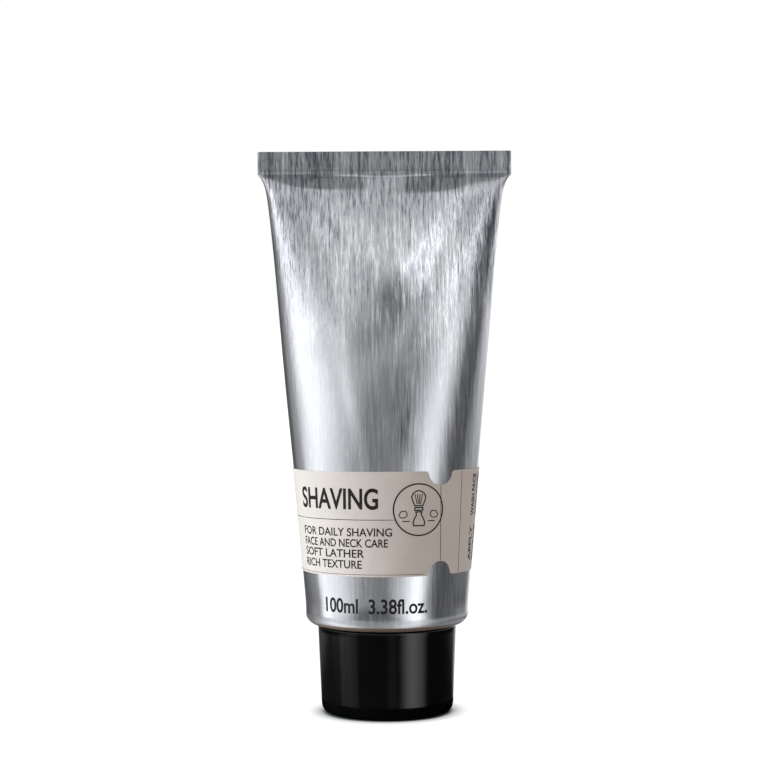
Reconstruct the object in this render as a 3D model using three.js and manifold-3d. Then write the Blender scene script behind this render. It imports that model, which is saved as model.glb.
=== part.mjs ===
// A 100 ml squeeze tube of shaving cream, standing on its screw cap.
// Millimetres, +Z up. The front of the tube faces -Y, and the flat seal at the top runs along X.
// The origin is the centre of the cap's flat end, on which the tube stands.
import * as THREE from "three";
import { mergeVertices } from "three/addons/utils/BufferGeometryUtils.js";
import Module from "manifold-3d";

const wasm = await Module();
wasm.setup();

// ---------------------------------------------------------------- driving dimensions

// Sleeve: one laminate web, welded into a round pipe and pressed flat at its far end.
const tubeRadius = 20; // where the sleeve is round, over the shoulder
const sleeveWall = 0.4;
const bodyLength = 106; // from the end of the round part to the seal
const sealHeight = 5.6;
const sealHalfThickness = 0.45;

// Shoulder and threaded neck, one moulding.
const shoulderRound = 2.6; // radius of the tube's lower corner
const shoulderSkirt = 2; // height of the wall that the sleeve is welded to, above the corner
const shoulderWall = 1.2;
const shoulderFloor = 1.5;
const sleeveEndAngle = 57; // degrees up the corner from its underside, where the sleeve's edge lies
const neckRadius = 6.8;
const neckLength = 9;
const neckBoreRadius = 5.2;
const orificeRadius = 2.5;
const neckTipWall = 1.2;

// Screw thread, single start, right handed.
const threadPitch = 3;
const threadHeight = 0.9;
const ridgeRootWidth = 1.3;
const ridgeCrestWidth = 0.6;
const neckThreadTurns = 1.9;
const capThreadTurns = 1.75;
const threadLeadIn = 1.5; // from the neck's tip to the middle of its first ridge

// Cap: an outer shell with draft, and a threaded insert pressed into it.
const capHeight = 21.6;
const capRimRadius = 17.05;
const capFootRadius = 16.2;
const capFillet = 2;
const capWall = 1.4;
const capFloor = 1.6;
const insertWall = 1.35;
const insertPlate = 1.3;
const insertFlange = 1.2;
const insertRecess = 0.5; // of the insert's flange below the cap's rim
const insertRibs = 6;
const insertRibThickness = 1;

// Thin pieces.
const linerThickness = 1.2;
const foilThickness = 0.15;
const foilTabThickness = 0.1;
const foilTabRadius = 5.9;
const rondelThickness = 0.3;

// Label, a ticket-shaped band round the front of the tube.
const labelBottom = 35.4;
const labelHeight = 25;
const labelThickness = 0.12;
const labelReach = 53; // along the sleeve, each way from the front's middle line
const notchOffset = 13.5; // along the sleeve, from the front's middle line to the notches
const notchDepth = 3.4;
const notchRadius = 3.1; // of the arc at the notch's end
const notchLip = 1; // radius of the rounded corners on each side of a notch

// Clearances.
const rimGap = 0.3; // cap rim to shoulder
const threadClearance = 0.25; // crest to wall, both ways
const bondGap = 0.05; // between pieces that are glued or welded together
const pressGap = 0.15; // insert to shell
const fillGap = 0.3; // cream to the walls that hold it
const linerGap = 0.1; // closed cap's liner to the foil under it

// Facets.
const quarterPoints = 16; // steps in each quarter of a sleeve section
const sealCrowding = 1.9; // above 1, the flat seal's points crowd towards its two narrow ends
const roundSegments = 64;
const threadSegments = 32;

// ---------------------------------------------------------------- places worked out from them

const shoulderZ = capHeight + rimGap;
const neckTipZ = shoulderZ - neckLength;
const cornerRadius = tubeRadius - shoulderRound; // distance of the corner's centre from the axis
const cornerZ = shoulderZ + shoulderRound;
const bodyStartZ = cornerZ + shoulderSkirt;
const sealZ = bodyStartZ + bodyLength;
const webWidth = 2 * Math.PI * tubeRadius; // the same at every height
const sealHalfWidth = (webWidth - 2 * Math.PI * sealHalfThickness) / 4 + sealHalfThickness;

const insertBore = neckRadius + threadHeight + threadClearance;
const insertOuter = insertBore + insertWall;
const linerTop = neckTipZ - bondGap - foilThickness - bondGap - foilTabThickness - linerGap;
const insertPlateTop = linerTop - linerThickness - bondGap;
const insertFlangeTop = capHeight - insertRecess;

// ---------------------------------------------------------------- general helpers

const radians = THREE.MathUtils.degToRad;

/** Points on an arc in the (radius, z) half plane. Angle 0 points down and 90 points away from the axis. */
function arc(centreRadius, centreZ, radius, fromDegrees, toDegrees, steps) {
  return Array.from({ length: steps + 1 }, (_, i) => {
    const angle = radians(fromDegrees + ((toDegrees - fromDegrees) * i) / steps);
    return [centreRadius + radius * Math.sin(angle), centreZ - radius * Math.cos(angle)];
  });
}

/** A body of revolution about Z from [radius, z] points, listed once round with the solid on their left. */
function revolve(profile) {
  const onAxis = profile[0][0] === 0;
  const loop = onAxis ? profile : [...profile, profile[0]];
  const points = loop.map(([radius, z]) => new THREE.Vector2(radius, z));
  return new THREE.LatheGeometry(points, roundSegments).rotateX(Math.PI / 2);
}

/** A closed body through rings of equal length, with a flat end on the first ring and on the last. */
function loft(rings) {
  const size = rings[0].length;
  const positions = rings.flat().flatMap((point) => [point.x, point.y, point.z]);
  const faces = [];
  for (let ring = 0; ring + 1 < rings.length; ring++)
    for (let k = 0; k < size; k++) {
      const [a, b] = [ring * size + k, ring * size + ((k + 1) % size)];
      faces.push(a, b, b + size, a, b + size, a + size);
    }
  for (const [ring, turned] of [[0, true], [rings.length - 1, false]]) {
    const middle = new THREE.Vector3();
    rings[ring].forEach((point) => middle.addScaledVector(point, 1 / size));
    const hub = positions.length / 3;
    positions.push(middle.x, middle.y, middle.z);
    for (let k = 0; k < size; k++) {
      const edge = [ring * size + k, ring * size + ((k + 1) % size)];
      if (turned) edge.reverse();
      faces.push(...edge, hub);
    }
  }
  return new THREE.BufferGeometry()
    .setAttribute("position", new THREE.Float32BufferAttribute(positions, 3))
    .setIndex(faces);
}

/** A three.js geometry as a manifold-3d solid, turned to face outwards. */
function solid(geometry) {
  const bare = geometry.clone();
  for (const name of Object.keys(bare.attributes)) if (name !== "position") bare.deleteAttribute(name);
  const merged = mergeVertices(bare, 1e-4);
  const mesh = new wasm.Mesh({
    numProp: 3,
    vertProperties: merged.attributes.position.array,
    triVerts: new Uint32Array(merged.index.array),
  });
  const made = new wasm.Manifold(mesh);
  if (made.volume() > 0) return made;
  mesh.triVerts = mesh.triVerts.map((_, i, all) => all[i + (i % 3 === 1 ? 1 : i % 3 === 2 ? -1 : 0)]);
  return new wasm.Manifold(mesh);
}

/** A manifold-3d solid as a three.js geometry. */
function geometryOf(made) {
  const { numProp, vertProperties, triVerts } = made.getMesh();
  const positions = new Float32Array((vertProperties.length / numProp) * 3);
  for (let i = 0; i < positions.length / 3; i++)
    positions.set(vertProperties.subarray(i * numProp, i * numProp + 3), i * 3);
  return new THREE.BufferGeometry()
    .setAttribute("position", new THREE.BufferAttribute(positions, 3))
    .setIndex(new THREE.BufferAttribute(new Uint32Array(triVerts), 1));
}

// ---------------------------------------------------------------- sections of the sleeve

/** Points spaced along a fine line that runs from the narrow end of a section to the middle of a face. */
function spaced(line, crowding = 1) {
  const lengths = [0];
  for (let i = 1; i < line.length; i++) {
    const step = Math.hypot(line[i][0] - line[i - 1][0], line[i][1] - line[i - 1][1]);
    lengths.push(lengths[i - 1] + step);
  }
  const total = lengths[lengths.length - 1];
  return Array.from({ length: quarterPoints + 1 }, (_, point) => {
    const wanted = total * (point / quarterPoints) ** crowding;
    const i = Math.max(1, lengths.findIndex((length) => length >= wanted - 1e-9));
    const part = (wanted - lengths[i - 1]) / (lengths[i] - lengths[i - 1]);
    return [0, 1].map((k) => line[i - 1][k] + part * (line[i][k] - line[i - 1][k]));
  });
}

/** A whole ring from the quarter in front of +X, anticlockwise seen from above. */
function ringFromQuarter(quarter, z) {
  const back = quarter.slice(0, -1);
  const turnedBack = quarter.slice(1).reverse();
  return [
    ...back.map(([x, y]) => [x, y]),
    ...turnedBack.map(([x, y]) => [-x, y]),
    ...back.map(([x, y]) => [-x, -y]),
    ...turnedBack.map(([x, y]) => [x, -y]),
  ].map(([x, y]) => new THREE.Vector3(x, y, z));
}

const FINE = 240; // steps in a fine line

/** A quarter of a superellipse, as a fine line from (halfWidth, 0) to (0, halfDepth). */
function superellipse(halfWidth, halfDepth, exponent) {
  return Array.from({ length: FINE + 1 }, (_, i) => {
    const angle = (Math.PI / 2) * (i / FINE);
    const across = halfWidth * Math.max(0, Math.cos(angle)) ** (2 / exponent);
    return [across, halfDepth * Math.sin(angle) ** (2 / exponent)];
  });
}

function lengthOf(line) {
  let total = 0;
  for (let i = 1; i < line.length; i++)
    total += Math.hypot(line[i][0] - line[i - 1][0], line[i][1] - line[i - 1][1]);
  return total;
}

/** Half the sleeve's width at share t of the way from the round part to the seal. */
function halfWidthAt(t) {
  const spread = 0.8 * t + 0.06 * t ** 8 + 0.14 * t ** 60;
  return tubeRadius + (sealHalfWidth - tubeRadius) * spread;
}

/** The depth that keeps a section's outline as long as the web is wide. */
function halfDepthFor(halfWidth, exponent) {
  let [low, high] = [0, tubeRadius * 1.2];
  for (let i = 0; i < 40; i++) {
    const middle = (low + high) / 2;
    if (lengthOf(superellipse(halfWidth, middle, exponent)) < webWidth / 4) low = middle;
    else high = middle;
  }
  return (low + high) / 2;
}

/** The outer ring at share t. Near the seal each face is flatter at its middle than at its ends. */
function bodyRing(t) {
  const halfWidth = halfWidthAt(t);
  const exponent = 2 + 0.35 * t + 1.25 * t ** 4;
  const halfDepth = halfDepthFor(halfWidth, exponent);
  const pinch = 0.8 * t ** 7;
  const line = superellipse(halfWidth, halfDepth, exponent).map(([x, y]) => {
    const middle = Math.max(0, 1 - (x / halfWidth) ** 2) ** 1.5;
    return [x, y * (1 - pinch * middle)];
  });
  const crowding = 1 + (sealCrowding - 1) * t ** 3;
  return ringFromQuarter(spaced(line, crowding), bodyStartZ + t * bodyLength);
}

/** The sleeve's rings between the round part and the seal, bottom to top. */
const shares = [
  0, 0.06, 0.13, 0.21, 0.3, 0.39, 0.48, 0.57, 0.66, 0.74, 0.81, 0.87, 0.915, 0.95, 0.975, 0.99,
];
const bodyRings = shares.map(bodyRing);

/** The sleeve's outline at a height, on the facets between its rings. */
function facetRing(z) {
  const above = bodyRings.findIndex((ring) => ring[0].z > z);
  const [low, high] = [bodyRings[above - 1], bodyRings[above]];
  const part = (z - low[0].z) / (high[0].z - low[0].z);
  return low.map((point, i) => point.clone().lerp(high[i], part));
}

/** The outer ring of the flat seal: two straight sides with rounded ends. */
function sealRing(z) {
  const end = sealHalfWidth - sealHalfThickness;
  const bend = Array.from({ length: 9 }, (_, i) => {
    const angle = (Math.PI / 2) * (i / 8);
    return [end + sealHalfThickness * Math.cos(angle), sealHalfThickness * Math.sin(angle)];
  });
  return ringFromQuarter(spaced([...bend, [0, sealHalfThickness]], sealCrowding), z);
}

function circleRing(radius, z) {
  return ringFromQuarter(spaced(superellipse(radius, radius, 2)), z);
}

/** A ring moved inwards by a wall, square to its sides, but never across the middle plane. */
function inwards(ring, wall) {
  const least = 0.04; // half depth of the inside where the two faces all but meet
  const halfWidth = Math.max(...ring.map((point) => point.x)) - wall;
  return ring.map((point, i) => {
    const before = ring[(i + ring.length - 1) % ring.length];
    const after = ring[(i + 1) % ring.length];
    const sides = [point.clone().sub(before).normalize(), after.clone().sub(point).normalize()];
    const out = new THREE.Vector3(sides[0].y + sides[1].y, -sides[0].x - sides[1].x, 0);
    const moved = point.clone().addScaledVector(out, (-2 * wall) / out.lengthSq());
    moved.x = THREE.MathUtils.clamp(moved.x, -halfWidth, halfWidth);
    moved.y = Math.abs(point.y) < 1e-6 ? 0 : Math.sign(point.y) * Math.max(Math.abs(moved.y), least);
    return moved;
  });
}

/** A ring grown outwards by a distance that is small beside it. */
function outwards(ring, distance) {
  const halfWidth = Math.max(...ring.map((point) => point.x));
  const halfDepth = Math.max(...ring.map((point) => point.y));
  const [growX, growY] = [1 + distance / halfWidth, 1 + distance / halfDepth];
  return ring.map((point) => new THREE.Vector3(point.x * growX, point.y * growY, point.z));
}

// ---------------------------------------------------------------- tube

/** The laminate sleeve: open over the shoulder, pressed flat and welded shut at the top. */
function sleeve() {
  const corner = (wall) =>
    arc(cornerRadius, cornerZ, shoulderRound - wall, sleeveEndAngle, 90, 3)
      .map(([r, z]) => circleRing(r, z));
  const inner = bodyRings.map((ring) => inwards(ring, sleeveWall));
  return loft([
    ...inner.reverse(),
    ...corner(sleeveWall).reverse(),
    ...corner(0),
    ...bodyRings,
    sealRing(sealZ),
    sealRing(sealZ + sealHeight),
  ]);
}

/** A helical ridge of trapezoid section, outwards from rootRadius, or inwards if crestRadius is less. */
function threadRidge(rootRadius, crestRadius, firstZ, firstAngle, turns) {
  const sink = 0.3 * Math.sign(rootRadius - crestRadius); // the root lies inside the wall
  const steps = Math.round(turns * threadSegments);
  const fade = threadSegments / 12; // steps over which each end rises to full height
  const rings = Array.from({ length: steps + 1 }, (_, i) => {
    const angle = firstAngle + (2 * Math.PI * turns * i) / steps;
    const z = firstZ + (threadPitch * turns * i) / steps;
    const height = Math.min(1, 0.15 + i / fade, 0.15 + (steps - i) / fade);
    const crest = rootRadius + (crestRadius - rootRadius) * height;
    return [
      [rootRadius + sink, -ridgeRootWidth / 2],
      [crest, -ridgeCrestWidth / 2],
      [crest, ridgeCrestWidth / 2],
      [rootRadius + sink, ridgeRootWidth / 2],
    ].map(([r, dz]) => new THREE.Vector3(r * Math.cos(angle), r * Math.sin(angle), z + dz));
  });
  return solid(loft(rings));
}

/** The shoulder with its neck, orifice and thread. A thin ring of it shows below the sleeve's edge. */
function shoulder() {
  const lip = 0.4; // chamfer round the neck's tip
  const covered = shoulderRound - sleeveWall - bondGap;
  const skirtInner = tubeRadius - sleeveWall - bondGap - shoulderWall;
  const floorZ = shoulderZ + shoulderFloor;
  const edgeAngle = sleeveEndAngle - (180 / Math.PI) * (bondGap / shoulderRound);
  const profile = [
    [orificeRadius, neckTipZ],
    [neckRadius - lip, neckTipZ],
    [neckRadius, neckTipZ + lip],
    [neckRadius, shoulderZ],
    ...arc(cornerRadius, cornerZ, shoulderRound - bondGap, 0, edgeAngle, 3),
    ...arc(cornerRadius, cornerZ, covered, edgeAngle, 90, 3),
    [cornerRadius + covered, bodyStartZ - bondGap],
    [skirtInner, bodyStartZ - bondGap],
    [skirtInner, floorZ + shoulderFloor],
    [skirtInner - shoulderFloor, floorZ],
    [neckBoreRadius, floorZ],
    [neckBoreRadius, neckTipZ + neckTipWall],
    [orificeRadius, neckTipZ + neckTipWall],
  ];
  const crest = neckRadius + threadHeight;
  const thread = threadRidge(neckRadius, crest, neckTipZ + threadLeadIn, 0, neckThreadTurns);
  return geometryOf(solid(revolve(profile)).add(thread));
}

/** The barrier disc that lies on the shoulder's inner floor and turns up at its edge. */
function rondel() {
  const low = shoulderZ + shoulderFloor + bondGap;
  const edge = tubeRadius - sleeveWall - bondGap - shoulderWall - shoulderFloor;
  const inner = neckBoreRadius + fillGap;
  const turnUp = shoulderFloor - fillGap;
  return revolve([
    [inner, low],
    [edge - bondGap, low],
    [edge - bondGap + turnUp, low + turnUp],
    [edge - bondGap + turnUp - rondelThickness, low + turnUp + rondelThickness / 2],
    [edge - bondGap - rondelThickness, low + rondelThickness],
    [inner, low + rondelThickness],
  ]);
}

/** The peel-off foil over the orifice, with a half-moon pull tab folded flat under it. */
function foilSeal() {
  const discTop = neckTipZ - bondGap;
  const discBottom = discTop - foilThickness;
  const discRadius = neckRadius - bondGap;
  const tabTop = discBottom - bondGap;
  const tabBottom = tabTop - foilTabThickness;
  const disc = revolve([[0, discBottom], [discRadius, discBottom], [discRadius, discTop], [0, discTop]]);
  const outline = new THREE.Shape().absarc(0, 0, foilTabRadius, Math.PI, 2 * Math.PI, false);
  outline.closePath();
  const tab = new THREE.ExtrudeGeometry(outline, {
    depth: foilTabThickness,
    bevelEnabled: false,
    curveSegments: roundSegments / 4,
  }).translate(0, 0, tabBottom);
  const foldWidth = foilTabRadius;
  const foldHeight = discTop - tabBottom - foilThickness / 2;
  const fold = new THREE.BoxGeometry(foldWidth, foilThickness * 2, foldHeight);
  fold.translate(0, -foilThickness * 1.2, tabBottom + foldHeight / 2);
  return geometryOf(solid(disc).add(solid(tab)).add(solid(fold)));
}

/** The cream: it fills the sleeve, the shoulder and the neck's bore. */
function creamFill() {
  const boreRadius = neckBoreRadius - fillGap;
  const skirtInner = tubeRadius - sleeveWall - bondGap - shoulderWall - fillGap;
  const floorZ = shoulderZ + shoulderFloor + bondGap + rondelThickness + fillGap;
  const skirtTop = bodyStartZ + fillGap;
  const chamfer = shoulderFloor + fillGap;
  const lowest = facetRing(bodyStartZ + 2 * fillGap);
  return loft([
    circleRing(boreRadius, neckTipZ + neckTipWall + fillGap),
    circleRing(boreRadius, floorZ),
    circleRing(skirtInner - chamfer, floorZ),
    circleRing(skirtInner, floorZ + chamfer),
    circleRing(skirtInner, skirtTop),
    ...[lowest, ...bodyRings.slice(1, -2)].map((ring) => inwards(ring, sleeveWall + fillGap)),
  ]);
}

// ---------------------------------------------------------------- label

/** Point and outward direction on the sleeve at a height, and at a distance from the front's middle. */
function onSleeve(z, along) {
  const ring = facetRing(z);
  const front = (3 * ring.length) / 4; // the ring starts at +X and runs anticlockwise
  let [i, left] = [front, Math.abs(along)];
  const step = Math.sign(along) || 1;
  const next = () => ring[(i + step + ring.length) % ring.length];
  while (left > ring[i % ring.length].distanceTo(next())) {
    left -= ring[i % ring.length].distanceTo(next());
    i += step;
  }
  const here = ring[i % ring.length];
  const point = here.clone().lerp(next(), left / here.distanceTo(next()));
  const tangent = next().clone().sub(here).multiplyScalar(step).normalize();
  return { point, outward: new THREE.Vector3(tangent.y, -tangent.x, 0) };
}

/** The outline of a notch cut down from y = 0: an arc with a rounded corner on each side. */
function notchOutline() {
  const over = 1; // how far the cutter stands past the label's edge
  const arcY = notchRadius - notchDepth;
  const drop = -notchLip - arcY; // from the arc's centre to the corners' centres
  const cornerX = Math.sqrt((notchRadius + notchLip) ** 2 - drop ** 2);
  const meet = Math.atan2(-drop, cornerX);
  const shape = new THREE.Shape();
  shape.moveTo(cornerX, over);
  shape.lineTo(cornerX, 0);
  shape.absarc(cornerX, -notchLip, notchLip, Math.PI / 2, Math.PI - meet, false);
  shape.absarc(0, arcY, notchRadius, -meet, Math.PI + meet, true);
  shape.absarc(-cornerX, -notchLip, notchLip, meet, Math.PI / 2, false);
  shape.lineTo(-cornerX, over);
  shape.closePath();
  return shape;
}

/** A cutter for one notch: its outline pushed through the label, square to the sleeve there. */
function notchCutter(edgeZ, upwards) {
  const { point, outward } = onSleeve(edgeZ, notchOffset);
  const reach = 2;
  const cutter = new THREE.ExtrudeGeometry(notchOutline(), {
    depth: 2 * reach,
    bevelEnabled: false,
    curveSegments: 8,
  }).translate(0, 0, -reach);
  if (upwards) cutter.rotateZ(Math.PI);
  const up = new THREE.Vector3(0, 0, 1);
  const sideways = up.clone().cross(outward);
  const turn = new THREE.Matrix4().makeBasis(sideways, up, outward).setPosition(point);
  return solid(cutter.applyMatrix4(turn));
}

/** The label: a thin band on the front, notched at its top and bottom edges, and open at the back. */
function label() {
  const labelTop = labelBottom + labelHeight;
  const past = 1; // how far the core runs on past both edges of the band
  const between = bodyRings.filter((ring) => ring[0].z > labelBottom && ring[0].z < labelTop);
  const outer = [facetRing(labelBottom), ...between, facetRing(labelTop)];
  const core = [facetRing(labelBottom - past), ...between, facetRing(labelTop + past)];
  const band = solid(loft(outer.map((ring) => outwards(ring, bondGap + labelThickness))))
    .subtract(solid(loft(core.map((ring) => outwards(ring, bondGap)))));
  const gap = webWidth - 2 * labelReach;
  const opening = new THREE.BoxGeometry(gap, tubeRadius, labelHeight * 2);
  opening.translate(0, tubeRadius, labelBottom + labelHeight / 2);
  return geometryOf(
    band
      .subtract(solid(opening))
      .subtract(notchCutter(labelTop, false))
      .subtract(notchCutter(labelBottom, true)),
  );
}

// ---------------------------------------------------------------- cap

/** The cap's outer radius at a height, before its foot is rounded. */
function capRadiusAt(z) {
  return capFootRadius + ((capRimRadius - capFootRadius) * z) / capHeight;
}

/** The cap's outer shell: a cup with draft, standing on its flat end. */
function capShell() {
  const rimRound = 0.3;
  const innerCorner = 1;
  const cornerOf = capFootRadius - capFillet;
  return revolve([
    [0, 0],
    ...arc(cornerOf, capFillet, capFillet, 0, 90, 5),
    [capRimRadius, capHeight - rimRound],
    [capRimRadius - rimRound, capHeight],
    [capRimRadius - capWall, capHeight],
    [capRadiusAt(capFloor + innerCorner) - capWall, capFloor + innerCorner],
    [capRadiusAt(capFloor) - capWall - innerCorner, capFloor],
    [0, capFloor],
  ]);
}

/** One rib of the insert, from its threaded socket out to the shell's wall and down to its floor. */
function insertRib(angle) {
  const wall = (z) => capRadiusAt(z) - capWall - pressGap - insertRibThickness * 0.1;
  const floor = capFloor + fillGap;
  const inner = insertOuter / 3;
  const bite = 0.4; // how far a rib runs into the pieces that it joins
  const flangeBottom = insertFlangeTop - insertFlange;
  const corner = 1.6; // cut off at the foot, clear of the shell's inner corner
  const plateBottom = insertPlateTop - insertPlate;
  const outline = new THREE.Shape([
    new THREE.Vector2(inner, floor),
    new THREE.Vector2(wall(floor) - corner, floor),
    new THREE.Vector2(wall(floor + corner), floor + corner),
    new THREE.Vector2(wall(flangeBottom), flangeBottom + bite),
    new THREE.Vector2(insertOuter - bite, flangeBottom + bite),
    new THREE.Vector2(insertOuter - bite, plateBottom + bite),
    new THREE.Vector2(inner, plateBottom + bite),
  ]);
  const rib = new THREE.ExtrudeGeometry(outline, { depth: insertRibThickness, bevelEnabled: false });
  rib.translate(0, 0, -insertRibThickness / 2).rotateX(Math.PI / 2).rotateZ(angle);
  return solid(rib);
}

/** The insert: a threaded socket closed by a plate, a flange that fills the cap's mouth, and ribs. */
function capThreadInsert() {
  const seat = (z) => capRadiusAt(z) - capWall - pressGap; // the flange's edge follows the shell's draft
  const mouth = 0.4; // chamfer that leads the neck in
  const body = revolve([
    [0, insertPlateTop - insertPlate],
    [insertOuter, insertPlateTop - insertPlate],
    [insertOuter, insertFlangeTop - insertFlange],
    [seat(insertFlangeTop - insertFlange), insertFlangeTop - insertFlange],
    [seat(insertFlangeTop), insertFlangeTop],
    [insertBore + mouth, insertFlangeTop],
    [insertBore, insertFlangeTop - mouth],
    [insertBore, insertPlateTop],
    [0, insertPlateTop],
  ]);
  // Half a turn round from the neck's ridge, so that each ridge lies midway between the other's turns.
  const crest = neckRadius + threadClearance;
  const thread = threadRidge(insertBore, crest, neckTipZ + threadLeadIn, Math.PI, capThreadTurns);
  let made = solid(body).add(thread);
  for (let i = 0; i < insertRibs; i++) made = made.add(insertRib((2 * Math.PI * i) / insertRibs));
  return geometryOf(made);
}

/** The foam disc that seals the closed cap against the neck. */
function capLiner() {
  const radius = insertBore - fillGap;
  const low = linerTop - linerThickness;
  return revolve([[0, low], [radius, low], [radius, linerTop], [0, linerTop]]);
}

// ---------------------------------------------------------------- assembly

const finishes = {
  brushedAluminium: { color: 0xb9bdc4, roughness: 0.32, metalness: 1 },
  mouldedShoulder: { color: 0x9a8474, roughness: 0.5, metalness: 0 },
  barrier: { color: 0xd8d8d6, roughness: 0.4, metalness: 0.6 },
  foil: { color: 0xc9ccd0, roughness: 0.3, metalness: 1 },
  cream: { color: 0xf4f2ec, roughness: 0.45, metalness: 0 },
  labelPaper: { color: 0xd9cfc3, roughness: 0.7, metalness: 0 },
  blackGloss: { color: 0x0b0b0b, roughness: 0.22, metalness: 0 },
  insertPlastic: { color: 0x1b1b1b, roughness: 0.5, metalness: 0 },
  foam: { color: 0xe9e7e0, roughness: 0.85, metalness: 0 },
};

function piece(name, geometry, finish) {
  const mesh = new THREE.Mesh(geometry, new THREE.MeshStandardMaterial(finishes[finish]));
  mesh.name = name;
  return mesh;
}

const tube = new THREE.Group();
tube.add(
  piece("tube_sleeve", sleeve(), "brushedAluminium"),
  piece("shoulder_neck", shoulder(), "mouldedShoulder"),
  piece("barrier_rondel", rondel(), "barrier"),
  piece("foil_seal", foilSeal(), "foil"),
  piece("cream_fill", creamFill(), "cream"),
  piece("wrap_label", label(), "labelPaper"),
);

const cap = new THREE.Group();
cap.add(
  piece("cap_shell", capShell(), "blackGloss"),
  piece("cap_thread_insert", capThreadInsert(), "insertPlastic"),
  piece("cap_liner", capLiner(), "foam"),
);

const shavingCreamTube = new THREE.Group();
shavingCreamTube.add(tube, cap);

export default shavingCreamTube;
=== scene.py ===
"""A 100 ml tube of shaving cream that stands on its screw cap.

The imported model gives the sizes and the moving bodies. This script makes the fine surfaces, the
finishes, the print and the small studio round them. Shapes are worked out in millimetres and
written to meshes in metres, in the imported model's own frame: +Z up, front of the tube to -Y.
"""

import sys
import logging
import math
from dataclasses import dataclass, field
from enum import Enum
from functools import cache
from typing import Callable, Optional, Sequence, Union

import bmesh
import bpy
import numpy as np
from mathutils import Matrix, Vector


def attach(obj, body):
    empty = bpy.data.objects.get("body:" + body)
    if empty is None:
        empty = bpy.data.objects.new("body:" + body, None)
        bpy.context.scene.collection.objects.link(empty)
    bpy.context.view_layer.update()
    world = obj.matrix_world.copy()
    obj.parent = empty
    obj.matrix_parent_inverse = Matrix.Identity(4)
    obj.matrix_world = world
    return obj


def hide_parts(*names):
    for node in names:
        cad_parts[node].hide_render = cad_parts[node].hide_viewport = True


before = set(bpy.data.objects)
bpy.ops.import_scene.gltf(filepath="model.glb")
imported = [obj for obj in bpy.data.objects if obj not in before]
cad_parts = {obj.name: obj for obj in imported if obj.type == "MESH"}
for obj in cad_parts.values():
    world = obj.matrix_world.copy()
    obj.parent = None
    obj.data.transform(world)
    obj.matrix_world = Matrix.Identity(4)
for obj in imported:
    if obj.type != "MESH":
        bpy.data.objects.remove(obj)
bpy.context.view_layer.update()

log = logging.getLogger("shaving_cream_tube")
MM = 0.001
WEB_UV = "web"  # the sleeve's own map: across the web and along it, in decimetres
Socket, Node, Tree = bpy.types.NodeSocket, bpy.types.Node, bpy.types.NodeTree
Piece = bpy.types.Object
Colour = tuple[float, float, float]
Point = tuple[float, float]
Link = Union[Socket, float, tuple]


class Body(Enum):
    """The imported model's moving bodies."""

    TUBE = "tube"
    LIFT = "cap_lift"
    CAP = "cap"


# ---- node trees


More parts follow.
